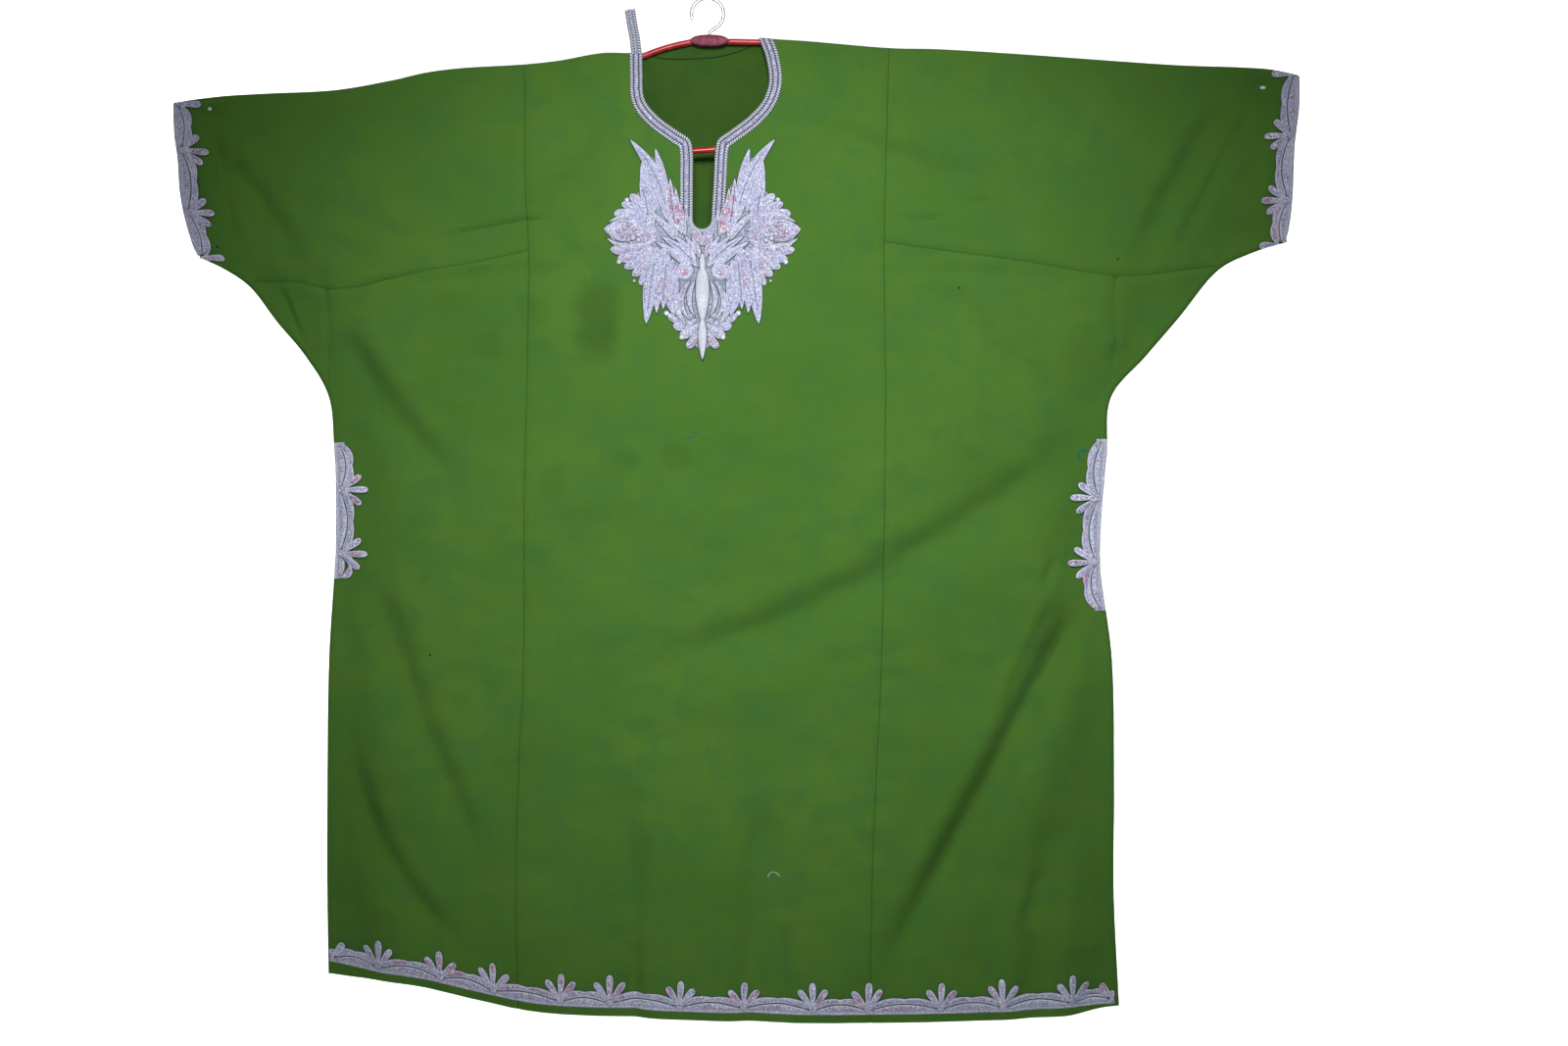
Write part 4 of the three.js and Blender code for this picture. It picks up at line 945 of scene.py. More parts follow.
def wool_material(name, shade):
    """Bright green wool: uneven dye, a fine slanting weave, stains, a few specks, and seams
    darkened partly as painted shade.
    """
    stuff = Stuff(name)
    broad = stuff.noise(5.0, 3.0, 0.55)["Fac"]
    patchy = stuff.noise(26.0, 4.0, 0.6, 0.4)["Fac"]
    fibre = stuff.noise(900.0, 3.0, 0.7)["Fac"]
    # shade scales every tone; below 1 it makes a darker copy of the wool, painted shade.
    tones = [tuple(shade * value for value in tone) for tone in WOOL_TONES]
    colour = stuff.blend(stuff.band(broad, 0.35, 0.65), tones[0], tones[1])
    colour = stuff.blend(stuff.band(patchy, 0.42, 0.66, 0.0, 0.7), colour, tones[2])
    colour = stuff.blend(stuff.band(fibre, 0.3, 0.7, 0.0, 0.3), colour, tones[3])
    ragged = stuff.blend(0.014, stuff.place, stuff.noise(34.0)["Color"], "LINEAR_LIGHT")
    depth = stuff.node("SeparateXYZ", {0: stuff.place})["Y"]
    in_front = stuff.band(depth, 0.001, -0.001)
    marks = [(ragged, *stain, STAIN_TONE) for stain in STAINS]
    marks += [(stuff.place, *teal, 0.8, TEAL_TONE) for teal in TEAL_MARKS]
    marks += [(stuff.place, at, (SPECK_RADIUS, SPECK_RADIUS), 1.0, SPECK_TONE) for at in SPECKS]
    for where, centre, radii, strength, tone in marks:
        shown = stuff.math("MULTIPLY", stuff.spot(where, centre, radii), in_front)
        colour = stuff.blend(stuff.math("MULTIPLY", shown, strength), colour, tone)
    # Darker within about a millimetre of each seam: partly the stitching, partly painted shade in
    # the seam's groove.
    colour = stuff.blend(stuff.band(stuff.mark("seam_mm"), 1.3, 0.2, 0.0, 0.32), colour, SEAM_SHADE_TONE)
    weave = stuff.node("TexWave", {"Vector": stuff.place, "Scale": 420.0, "Distortion": 1.5},
                       bands_direction="DIAGONAL")["Fac"]
    height = stuff.math("ADD", stuff.math("ADD", fibre, stuff.math("MULTIPLY", weave, 0.4)), patchy)
    return stuff.finish(colour, height, 0.5, 0.0009, Roughness=0.95, Specular_IOR_Level=0.08,
                        Sheen_Weight=0.04, Sheen_Roughness=0.5)


def tilla_material():
    """Couched metal thread: a bright cord at each pillow's rim, a dark outline painted as shade
    where pillows meet, and white flecks inside painted as glints.
    """
    stuff = Stuff("tilla")
    edge, along, tint, line, vein = (
        stuff.mark(name) for name in ("edge_mm", "along_mm", "tint", "outline_shade_mm", "vein_mm")
    )
    grit = stuff.noise(700.0, 2.0, 0.7)["Fac"]
    glint_speck = stuff.noise(420.0, 1.0, 0.5)["Fac"]
    rosy = stuff.noise(90.0, 2.0, 0.6)["Fac"]
    silver = stuff.blend(stuff.band(grit, 0.34, 0.58), (0.18, 0.21, 0.52), (0.7, 0.73, 1.0))
    rose = stuff.blend(stuff.band(grit, 0.35, 0.65), (0.3, 0.08, 0.2), (0.6, 0.36, 0.54))
    amount = stuff.math("MULTIPLY", stuff.math("MAXIMUM", tint, 0.0), stuff.band(rosy, 0.38, 0.62))
    amount = stuff.math("MAXIMUM", amount, stuff.math("SUBTRACT", tint, 1.0))
    colour = stuff.blend(amount, silver, rose)
    pale = stuff.math("MAXIMUM", stuff.math("MULTIPLY", tint, -1.0), 0.0)
    colour = stuff.blend(pale, colour, (0.9, 0.93, 1.0))
    # White flecks over the thread: painted glints of the metal.
    colour = stuff.blend(stuff.band(glint_speck, 0.56, 0.66, 0.0, 0.9), colour, GLINT_WHITE_TONE)
    beyond = stuff.math("SUBTRACT", edge, line)
    rim = stuff.math("MULTIPLY", stuff.band(beyond, -0.1, 0.15), stuff.band(beyond, 1.2, 0.8))
    colour = stuff.blend(stuff.math("MULTIPLY", rim, 0.7), colour, RIM_TONE)
    colour = stuff.blend(stuff.band(vein, 0.75, 0.3, 0.0, 0.7), colour, (0.03, 0.08, 0.12))
    # A dark teal line at each pillow's outer edge: painted shade for the gap where pillows meet and
    # overlap.
    colour = stuff.blend(stuff.band(beyond, 0.05, -0.25, 0.0, 0.94), colour, (0.02, 0.075, 0.1))
    slant = stuff.math("ADD", stuff.math("MULTIPLY", along, 4.2), stuff.math("MULTIPLY", edge, 2.6))
    thread = stuff.math("MULTIPLY", stuff.math("SINE", slant), 0.35)
    return stuff.finish(colour, stuff.math("ADD", thread, grit), 0.8, 0.0006, Metallic=0.22,
                        Roughness=0.38)


def speckled_material(name, dark, light, scale, roughness, metallic=0.0, bump_distance=0.0002):
    """A plain stuff with fine uneven colour and a fine grain."""
    stuff = Stuff(name)
    grain = stuff.noise(scale, 3.0, 0.6)["Fac"]
    colour = stuff.blend(stuff.band(grain, 0.35, 0.65), dark, light)
    rough = stuff.band(grain, 0.2, 0.8, roughness * 0.85, roughness * 1.15)
    return stuff.finish(colour, grain, 0.3, bump_distance, Metallic=metallic, Roughness=rough)


# The second wool is the same stuff at 0.62 of its tone: painted shade for the garment's inside
# faces.
WOOL, WOOL_SHADED_INSIDE = wool_material("wool", 1.0), wool_material("wool_painted_shade_inside", 0.62)
TILLA = tilla_material()
# dark tone, light tone, scale, roughness and, where they differ from the usual, metallic and bump
BRAID_GROUND, HANGER_RED, HANGER_MAUVE, STEEL, PIN_WHITE, TILLA_SHADED_GROUND, DARK_THREAD, THREAD = (
    speckled_material(*row) for row in (
        ("braid_ground", (0.006, 0.014, 0.035), (0.03, 0.045, 0.1), 800.0, 0.8),
        ("hanger_red", (0.46, 0.012, 0.022), (0.6, 0.03, 0.05), 40.0, 0.28),
        ("hanger_mauve", (0.2, 0.018, 0.05), (0.36, 0.09, 0.17), 260.0, 0.75),
        ("steel", (0.5, 0.5, 0.5), (0.66, 0.66, 0.66), 120.0, 0.22, 1.0),
        ("pin_white", (0.82, 0.84, 0.88), (0.92, 0.93, 0.95), 200.0, 0.25),
        # The motif's ground is darker than the leaves' thread: partly its own stitching, partly
        # painted shade under the leaves.
        ("tilla_ground_painted_shade", (0.1, 0.14, 0.22), (0.46, 0.49, 0.7), 620.0, 0.55, 0.0, 0.0005),
        ("dark_thread", (0.01, 0.03, 0.006), (0.02, 0.05, 0.012), 900.0, 0.9),
        ("loose_thread", (0.45, 0.6, 0.62), (0.62, 0.75, 0.76), 900.0, 0.7),
    )
)

# ---- metal-thread work: small stitched pillows that lie on the cloth ----


EDGE_INSET, EDGE_REACH = 0.3, 20.0   # a point off the outline by up to the reach is drawn in


def onto_cloth(side, x, z):
    """Points drawn inside the outline, and how far the cloth's skin stands out there, rolls too."""
    x, z = np.ravel(x).astype(float), np.ravel(z).astype(float)
    z = np.minimum(z, top_z(x) - EDGE_INSET)
    depth = top_z(x) - z
    for half in HALVES.values():
        distance, place, near = line_distance(x, z, half.line)
        inward = half.edge(place)[1]
        step = (x - near[:, 0]) * inward[:, 0] + (z - near[:, 1]) * inward[:, 1]
        out = (distance < EDGE_REACH) & (step < EDGE_INSET)
        x = np.where(out, near[:, 0] + EDGE_INSET * inward[:, 0], x)
        z = np.where(out, near[:, 1] + EDGE_INSET * inward[:, 1], z)
        depth = np.minimum(depth, np.where(out, EDGE_INSET, distance))
    turn = np.clip(1 - depth / FOLD_RADIUS, 0, 1)
    return x, z, half_depth(side, x, z) - FOLD_RADIUS * (1 - np.sqrt(1 - turn**2))


SUNK = 0.25                     # how far a pillow's foot lies under its lift


class Work:
    """Stitched pillows gathered into one mesh, on the cloth, or on a free band at a given depth."""

    def __init__(self, free_skin=None):
        self.free_skin = free_skin
        self.vertices, self.faces = [], []
        self.marks = {key: [] for key in ("edge_mm", "along_mm", "tint", "outline_shade_mm", "vein_mm")}
        self.count = 0

    def put(self, side, vertices, faces, *marks):
        """Add a form that is wound for the front, with its marks in the order above."""
        if side > 0:
            faces = [tuple(reversed(face)) for face in faces]
        self.faces += [tuple(v + self.count for v in face) for face in faces]
        self.vertices.append(vertices)
        self.count += len(vertices)
        for row, values in zip(self.marks.values(), marks):
            row.append(np.broadcast_to(values, len(vertices)))

    # line is the width in millimetres of the dark outline painted as shade at the pillow's edge.
    def add(self, side, x, z, lift, rise, edge, along, tint=0.0, line=0.6, vein=9.0):
        """x, z, rise, edge and along are grids; the pillow stands from lift to lift + rise."""
        if self.free_skin is None:
            flat_x, flat_z, skin = onto_cloth(side, x, z)
        else:
            flat_x, flat_z, skin = np.ravel(x), np.ravel(z), np.full(np.size(x), self.free_skin)
        high, low = (
            np.stack([flat_x, side * (skin + lift + up), flat_z], axis=1) * MM
            for up in (np.ravel(rise), -SUNK)
        )
        vertices, faces = closed_wall(high, low, grid_faces(Grid(x, z, side)))
        marks = (np.broadcast_to(mark, np.shape(x)) for mark in (edge, along, tint, line, vein))
        self.put(side, vertices, faces, *(np.tile(mark.ravel(), 2) for mark in marks))

    def piece(self, name, nodes, material=TILLA):
        made = make_mesh(name, np.vstack(self.vertices), self.faces, sharp_degrees=70.0)
        set_marks(made.data, {key: np.concatenate(rows) for key, rows in self.marks.items()})
        return dressed(made, "tilla", nodes, material)


PROFILES = {
    "leaf": lambda t: np.sin(np.pi * t**0.78) ** 0.66,
    "petal": lambda t: (0.55 + 0.45 * ramp(t * 1.3)) * np.sqrt(1 - np.abs(2 * t - 1) ** 5),
    "lens": lambda t: np.sin(np.pi * t) ** 0.75,
}
ALONG, ACROSS = ((17, 7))
NO_VEIN = 9.0                   # a distance in mm at which no vein is drawn


def plain_map(s, d):
    return s, d


def pillow(work, side, start, end, width, arch=0.0, kind="leaf", where=plain_map, lift=0.3,
           height=1.5, tint=0.0, line=0.6, veined=False):
    """A leaf between two points of a border's own plane, arched to its left."""
    start, end = np.array(start, float), np.array(end, float)
    length = np.linalg.norm(end - start)
    along = (end - start) / length
    left = np.array([-along[1], along[0]])
    t, a = np.meshgrid(np.linspace(0, 1, ALONG), np.linspace(-1, 1, ACROSS), indexing="ij")
    half = np.maximum(width / 2 * PROFILES[kind](np.clip(t, 0.001, 0.999)), 0.15)
    sideways = a * half + arch * 4 * t * (1 - t)
    x, z = where(*(start[k] + along[k] * length * t + left[k] * sideways for k in (0, 1)))
    rise = height * (1 - a**2) ** 0.55 * (1 - (2 * t - 1) ** 6)
    edge = np.minimum((1 - np.abs(a)) * half, 3 * length * np.minimum(t, 1 - t) + 0.2)
    ends = NO_VEIN * (np.abs(2 * t - 1) > 0.72)
    vein = np.abs(a) * half + ends if veined else NO_VEIN
    work.add(side, x, z, lift, rise, edge, t * length, tint, line, vein)


def button(work, side, x, z, radius, lift, height, tint=0.0):
    """A small domed round of coiled thread."""
    around = 12
    turn = np.linspace(0, 2 * np.pi, around, endpoint=False)
    rings = np.array([1.0, 1.0, 0.8, 0.5, 0.15])
    up = height * np.sqrt(np.maximum(1 - rings**2, 0.04))
    up[0] = -SUNK
    reach = radius * rings[:, None]
    flat_x, flat_z, skin = onto_cloth(side, x + reach * np.cos(turn), z + reach * np.sin(turn))
    y = side * (skin + lift + np.repeat(up, around))
    edge = np.repeat((1 - rings) * radius, around)
    vertices = np.stack([flat_x, y, flat_z], axis=1) * MM
    work.put(side, vertices, round_faces(len(rings), around), edge, 0.0, tint, 0.5, NO_VEIN)


def ring(work, side, x, z, radius, width, lift, height, tint=0.0):
    """A round of cord."""
    a, t = np.meshgrid(np.linspace(-1, 1, 5), np.linspace(0, 2 * np.pi, 25), indexing="ij")
    reach = radius + a * width / 2
    rise = height * (1 - a**2) ** 0.5
    edge = (1 - np.abs(a)) * width / 2
    x, z = x + reach * np.cos(t), z + reach * np.sin(t)
    work.add(side, x, z, lift, rise, edge + 0.6, t * radius, tint)


def strip(work, side, line, width, lift, height, tint=0.0, edge_from=0.0):
    """A cord or ribbon along a line of points."""
    line = np.asarray(line, float)
    tangent = unit(np.gradient(line, axis=0))
    a = np.linspace(-1, 1, 5)[None, :]
    x = line[:, :1] - tangent[:, 1:] * a * width / 2
    z = line[:, 1:] + tangent[:, :1] * a * width / 2
    rise = np.broadcast_to(height * (1 - a**2) ** 0.5, x.shape)
    edge = np.broadcast_to((1 - np.abs(a)) * width / 2 + edge_from, x.shape)
    work.add(side, x, z, lift, rise, edge, np.broadcast_to(walk(line)[:, None], x.shape), tint)


# ---- borders: flowers of three petals on a band of leaves ----

# how far a flower's petals reach, how wide they are, how they lean and where they spring from
FLOWER = dict(middle=30.0, side=27.0, width=9.4, spread=38.0, root=6.0)
# the cords under a border: height over the base line, width, lift, distance from their edge
CORDS = ((4.8, 8.4, 0.1, 2.0), (1.4, 2.8, 0.35, 0.7), (3.8, 1.5, 0.35, 0.7))


def border(work, side, where, flowers, roots, ends, seed, tall=1.0, lone=(None, None)):
    """A border over a base line, s along it and d above it, its leaf band tall times the plain one.

    Lone petals stand on the roots that lone gives a lean for.
    """
    random = np.random.default_rng(seed)
    s = np.arange(*ends, 4.0)
    for index, (low, width, lift, edge_from) in enumerate(CORDS):
        size = 1.0 if index else tall
        line = points(*where(s, np.full(s.shape, low * size)))
        strip(work, side, line, width * size, lift, 0.9, tint=0.25, edge_from=edge_from)

    def leaf(foot, tip, width, arch, lift, tint, kind="lens"):
        pillow(work, side, foot, tip, width, arch, kind, where, lift, 1.5, tint, line=0.85)

    low, high = 3.5 * tall, 9.0 * tall
    places = sorted([*flowers, *roots])
    for start, end in zip(places[:-1], places[1:]):
        span = end - start
        arch = min(8.5, span * 0.14) * tall
        leaf((start, low), (end, low), 3.6 * tall, arch, 0.4, random.uniform(0, 0.5))
        width, arch = min(8.0, span * 0.13) * tall, min(3.0, span * 0.05) * tall
        leaf((start + 2, low), (end - 2, low), width, arch, 0.6, random.uniform(0, 0.4))
        for at, lean in ((start, 1), (end, -1)):
            foot, tip = (at + lean, high * 0.7), (at + lean * span * 0.62, 13.0 * tall)
            leaf(foot, tip, 7.2 * tall, lean * 3.4 * tall, 0.75, random.uniform(0, 0.9), "leaf")
    turns = dict.fromkeys(flowers, (-1, 1, 0))
    turns.update({place: (turn,) for place, turn in zip(roots, lone) if turn is not None})
    root = FLOWER["root"] + 2.0 * (tall - 1)
    for place, petals in turns.items():
        whole = place in flowers
        size = random.uniform(0.94, 1.06)
        leaf((place, 2.0), (place, root + 9.0), 12.0 if whole else 8.0, 0, 0.9, 0.3, "petal")
        for turn in petals:
            lean = math.radians(turn * FLOWER["spread"] + random.uniform(-4, 4))
            reach = FLOWER["side" if turn else "middle"] * size * (1.0 if whole else 0.8)
            foot, tip = (
                (place + far * math.sin(lean), root + far * math.cos(lean)) for far in (1.0, reach)
            )
            tint = random.uniform(0.1, 1.0)
            leaf(foot, tip, FLOWER["width"], 0, 1.1 if turn else 1.3, tint, "petal")


def hem_place(s, d):
    return s, hem_z(s) + BASE_OVER["hem"] + d


def cuff_place(half):
    low, high = CUFF[half.name][0][0], CUFF[half.name][-1][0]

    def place(s, d):
        z = -s
        return half.cuff_x(np.clip(z, low, high)) - half.sign * (BASE_OVER["cuff"] + d), z

    return place


def pocket_place(half):
    def place(s, d):
        z = -s
        edge_x = half.edge(half.at_height(np.ravel(z)))[0][:, 0].reshape(np.shape(z))
        return edge_x - half.sign * (BASE_OVER["pocket"] + d), z

    return place


HEM_FLOWERS = (-366, -296, -237, -163, -108, -30, 41, 118, 179, 260, 329, 408)
HEM_ROOTS, HEM_ENDS = (-420, 453), (-424, 458)
CUFF_FLOWERS = {"left": (170, 240), "right": (153, 226)}
CUFF_ROOTS = {"left": (118, 290), "right": (84, 276)}
HEM_TALL, POCKET_TALL, CUFF_TALL = 1.15, 1.35, 1.25
HEM_SEED, POCKET_SEED, CUFF_SEED = 20, 30, 40
BASE_OVER = {"hem": 9.0, "cuff": 0.6, "pocket": 0.8}    # from the cloth's edge to the base line


def make_borders():
    """The borders of hem, hand slits and cuffs, by the cloth that each lies on."""
    made = {}
    for face, side in SIDES:
        work = Work()
        border(work, side, hem_place, HEM_FLOWERS, HEM_ROOTS, HEM_ENDS, HEM_SEED + side,
               HEM_TALL, (1, -1))
        nodes = [f"hem_border_{face}{end}" for end in ("", "_left", "_right")]
        made[f"hem_{face}"] = work.piece(f"hem_border_{face}_tilla", nodes)
        for name, half in HALVES.items():
            work, pocket = Work(), POCKET[name]
            flowers, ends = [-z for z in pocket["flowers"]], (-pocket["top"], -pocket["bottom"])
            border(work, side, pocket_place(half), flowers, ends, ends, POCKET_SEED + side,
                   POCKET_TALL)
            node_name = f"pocket_border_{face}_{name}"
            made[f"pocket_{face}_{name}"] = work.piece(f"{node_name}_tilla", [node_name])
    for name, half in HALVES.items():
        work, roots = Work(), CUFF_ROOTS[name]
        for side in (-1, 1):
            border(work, side, cuff_place(half), CUFF_FLOWERS[name], roots, roots,
                   CUFF_SEED + side, CUFF_TALL, (0, 0))
        made[f"cuff_{name}"] = work.piece(f"cuff_border_{name}_tilla", [f"cuff_border_{name}"])
    return made


# ---- neck motif ----

MOTIF = (-5.0, -258.5)          # the motif's middle line, and how high the slit ends

# the outline of one side of the motif: across from the middle, down from the slit's end
MOTIF_OUTLINE = [
    (0, 3), (6, 2), (10.5, -2), (13, -8), (14, -13), (22, -14), (24, -26), (28, -40), (34, -50),
    (39, -46), (43, -72), (52, -76), (64, -82),
    (60, -62), (58, -44), (67, -46), (75, -34), (84, -22), (95, -14), (105, 2), (98, 22), (88, 32),
    (74, 50), (64, 60), (60, 92), (49, 84), (38, 89), (31, 99), (20, 112), (13, 127), (0, 138),
]


def make_mat():
    """The close stitching that the leaves lie on, out to the motif's outline, its darker tone
    partly painted shade under them.
    """
    half = np.array(MOTIF_OUTLINE, float)
    outline = np.vstack([half, half[-2::-1] * (-1, 1)])
    pitch = 2.0
    across, down = np.meshgrid(np.arange(-108, 109, pitch), np.arange(-98, 149, pitch))
    faces = grid_faces(Grid(across, down, -1))
    across, down = across.ravel(), down.ravel()
    faces = cut_along(outline, across, down, faces, "inside")
    used, faces = np.unique(faces, return_inverse=True)
    x, z, skin = onto_cloth(-1, MOTIF[0] + across[used], MOTIF[1] - down[used])
    high, low = (np.stack([x, -(skin + lift), z], axis=1) * MM for lift in (1.15, 0.1))
    piece = make_mesh("neck_motif_ground", *closed_wall(high, low, faces.reshape(-1, 4)))
    return dressed(piece, "tilla", ["neck_motif"], TILLA_SHADED_GROUND)


# leaves between two points, each across from the middle and down from the slit's end:
# foot, tip, width, arch towards the middle of the body, tint, with a vein or without
MOTIF_SCROLLS = [
    (50, 8, 110, 1, 34, 0, 0.3, False),
    (50, 4, 106, -5, 10.6, 13, 0.1, False),
    (50, 12, 108, 10, 10.6, -12, 0.2, False),
    (60, -4, 70, -54, 13, 2, 0.1, True),
    (55, -2, 62, -44, 9.4, 1, 0.3, False),
    (48, -18, 67, -76, 14.2, -5, 0.1, False),
    (41, -20, 53, -90, 13, 2, 0.1, False),
    (38, -6, 82, -100, 16.5, 9, 0.0, True),
    (28, 10, 48, -34, 10.6, 2, 0.2, False),
    (30, 14, 62, -20, 9.4, 3, 0.1, False),
    (28, 6, 36, -57, 10.6, -2, 0.8, True),
    (23, 8, 30, -46, 9.4, -1, 1.1, False),
    (19, 10, 25, -29, 8.3, 0, 1.1, False),
    (33, 34, 37, 90, 10.6, 0, 0.4, False),
    (38, 28, 44, 92, 13, 1, 0.2, True),
    (44, 26, 51, 96, 14.2, 2, 0.5, False),
    (50, 20, 63, 108, 18.9, 1, 0.0, True),
    (36, 20, 58, 32, 10.6, -3, 0.3, False),
    (9, 50, 53, 15, 10.6, 3, 0.2, False),
    (5, 44, 47, 9, 10.6, 3, 0.0, True),
    (7, 36, 33, 8, 8.3, 2, 0.3, False),
    (3, 34, 13, 6, 8, 1, 0.5, False),
    (24, 40, 30, 62, 12, 2, 0.4, False),
    (8, 30, 20, 8, 7.1, 1, 0.6, False),
    (34, 60, 30, 99, 10.6, 5, 0.2, False),
    (27, 58, 17, 109, 10.6, 8, 0.1, False),
    (13, 58, 11, 105, 8.3, 12, 0.3, False),
    (8, 58, 7, 101, 7.1, 7, 0.1, False),
]
# the scalloped rim, in the same columns
MOTIF_SCALLOPS = [
    (66, -10, 99, -16, 11, 3, 0.2, False),
    (62, -10, 90, -28, 11, 2, 0.1, False),
    (58, -8, 80, -38, 12, 1, 0.3, False),
    (60, 17, 103, 24, 12, -4, 0.2, False),
    (58, 19, 95, 35, 12, -4, 0.3, False),
    (56, 20, 87, 45, 12, -3, 0.1, False),
    (54, 21, 78, 54, 12, -3, 0.4, False),
    (52, 22, 70, 64, 12, -3, 0.6, False),
    (9, 96, 39, 98, 12, -4, 0.3, False),
    (6, 101, 33, 110, 12, -3, 0.1, False),
    (4, 106, 25, 121, 12, -2, 0.2, False),
    (3, 112, 17, 134, 11, -1, 0.4, False),
]
MOTIF_BEADS = [(84, -31, 3.1), (93, 38, 3.1), (40, 95, 3.4), (23, 122, 3.2), (76, 59, 2.0)]
LOBE_DOTS = [
    (71, 8), (76, 2), (82, 7), (87, 1), (77, 12), (83, 14), (89, 9), (94, 4), (71, 14), (82, -3),
]


def make_motif():
    work = Work()

    def at(across, down):
        return MOTIF[0] + across, MOTIF[1] - down

    def leaf(row, mirror, lift, height, kind="leaf", line=0.85):
        a0, d0, a1, d1, width, arch, tint, veined = row
        pillow(work, -1, at(a0 * mirror, d0), at(a1 * mirror, d1), width, arch * mirror, kind,
               lift=lift, height=height, tint=tint, line=line, veined=veined)

    for mirror in (-1, 1):
        for index, row in enumerate(MOTIF_SCALLOPS):
            leaf(row, mirror, 0.75 + 0.03 * index, 1.2, "petal")
        for index, row in enumerate(MOTIF_SCROLLS):
            leaf(row, mirror, 1.0 + 0.045 * index, 1.3)
        leaf((63, 8, 100, 3, 23, 0, 0.5, False), mirror, 2.0, 0.9, "petal", 1.0)
        eye = at(20 * mirror, 49)
        button(work, -1, *eye, 9.6, 2.4, 1.0)
        ring(work, -1, *eye, 7.2, 2.4, 3.1, 1.0)
        button(work, -1, *eye, 4.6, 3.0, 1.6, tint=1.7)
        for across, down, size in MOTIF_BEADS:
            button(work, -1, *at(across * mirror, down), size, 0.5, 2.2, tint=-0.3)
        for index, (across, down) in enumerate(LOBE_DOTS):
            tint = 2.0 if index % 4 else -0.3
            button(work, -1, *at(across * mirror, down), 2.6, 2.7, 1.3, tint=tint)
    for foot, tip, width in ((28, 58, 8), (42, 108, 17), (100, 148, 11)):
        leaf((0, foot, 0, tip, width, 0, -0.6, False), 1, 2.7, 2.0)
    for lean in (-27, 27):
        turn = math.radians(lean)
        tip = at(19 * math.sin(turn), 20 - 19 * math.cos(turn))
        pillow(work, -1, at(0, 20), tip, 12, kind="petal", lift=3.0, height=1.4, tint=0.5)
    return work.piece("neck_motif_tilla", ["neck_motif"])


# ---- neck braid ----


# how far out on the braid its two rows of loops lie, how they lean in degrees, and their pitch
LOOPS_OUT, LOOP_LEAN, LOOP_PITCH = (2.3, 12.7), 28, 2.9
OVER_MOTIF = MOTIF[1] + 4       # the height down to which the whole braid shows


def walked(line, pitch):
    """Evenly spaced points along a line, and the line's direction at each."""
    along = walk(line)
    count = max(int(along[-1] / pitch), 2)
    at = (np.arange(count) + 0.5) * along[-1] / count
    spots = np.stack([np.interp(at, along, line[:, k]) for k in (0, 1)], axis=1)
    return spots, unit(np.gradient(spots, axis=0))


def moved_out(line, distance):
    step = unit(np.vstack([line[1:], line[-1:]]) - np.vstack([line[:1], line[:-1]]))
    return line + distance * step[:, ::-1] * (1, -1)


def braid_path():
    line = neck_line()
    inside_cloth = line[:, 1] < top_z(line[:, 0]) - 1.0
    line = line[inside_cloth]
    starts = [(x, float(top_z(x)) - 1.0) for x in NECK_SIDES]
    return np.vstack([starts[0], line, starts[1]])


def make_braid():
    """Two rows of slanting loops with a ribbon between, lower down covered by the motif."""
    work, ground = Work(), Work()
    path = braid_path()
    middle = moved_out(walked(path, 3.0)[0], BRAID_WIDTH / 2)
    strip(ground, -1, middle, BRAID_WIDTH, 0.3, 0.7)
    for sign in (-1, 1):
        run = middle[(sign * (middle[:, 0] - MOTIF[0]) > 0) & (middle[:, 1] > OVER_MOTIF)]
        strip(work, -1, run, 4.6, 1.0, 1.2, tint=0.3, edge_from=1.0)
    loops(work, moved_out(path, LOOPS_OUT[0]), LOOP_LEAN)
    loops(work, moved_out(path, LOOPS_OUT[1]), -LOOP_LEAN, OVER_MOTIF)
    braid = work.piece("neck_braid_tilla", ["neck_braid"])
    under = ground.piece("neck_braid_ground", ["neck_braid"], BRAID_GROUND)
    return [braid, under]


def loops(work, path, lean, lowest=-math.inf):
    """A row of slanting white loops along a path."""
    spots, tangent = walked(path, LOOP_PITCH)
    for spot_at, way in zip(spots, tangent):
        if spot_at[1] > lowest:
            turn = math.atan2(way[1], way[0]) + math.radians(90 + lean)
            step = np.array([math.cos(turn), math.sin(turn)]) * 2.2
            stitch(work, -1, spot_at - step, spot_at + step, 2.25, 1.0, 1.3)


def stitch(work, side, start, end, width, lift, height):
    t, a = np.meshgrid(np.linspace(0, 1, 5), np.linspace(-1, 1, 4), indexing="ij")
    along = np.asarray(end) - np.asarray(start)
    left = np.array([-along[1], along[0]]) / np.linalg.norm(along)
    half = width / 2 * np.maximum(np.sin(np.pi * np.clip(t, 0.04, 0.96)) ** 0.5, 0.2)
    x = start[0] + along[0] * t + left[0] * a * half
    z = start[1] + along[1] * t + left[1] * a * half
    rise = height * (1 - a**2 * 0.8) * np.sin(np.pi * np.clip(t, 0.08, 0.92)) ** 0.5
    work.add(side, x, z, lift, rise, np.full(x.shape, 1.1), t * 4, tint=-0.95)


# ---- hanger, pins and thread ----


def tube_mesh(name, line, radius, sides, material, nodes, slot):
    """A smooth round tube along points, its ends rounded off."""
    tangent = unit(np.gradient(line, axis=0))
    radii = np.full(len(line), radius)
    radii[0] = radii[-1] = radius * TUBE_END
    turn = np.linspace(0, 2 * np.pi, sides, endpoint=False)[:, None]
    rings = []
    for point, way, size in zip(line, tangent, radii):
        other = np.cross(way, (0.0, 1.0, 0.0))
        other /= np.linalg.norm(other)
        rings.append(point + size * (np.cos(turn) * np.cross(other, way) + np.sin(turn) * other))
    vertices = np.vstack(rings) * MM
    piece = make_mesh(name, vertices, round_faces(len(rings), sides), sharp_degrees=60.0)
    return dressed(piece, slot, nodes, material)


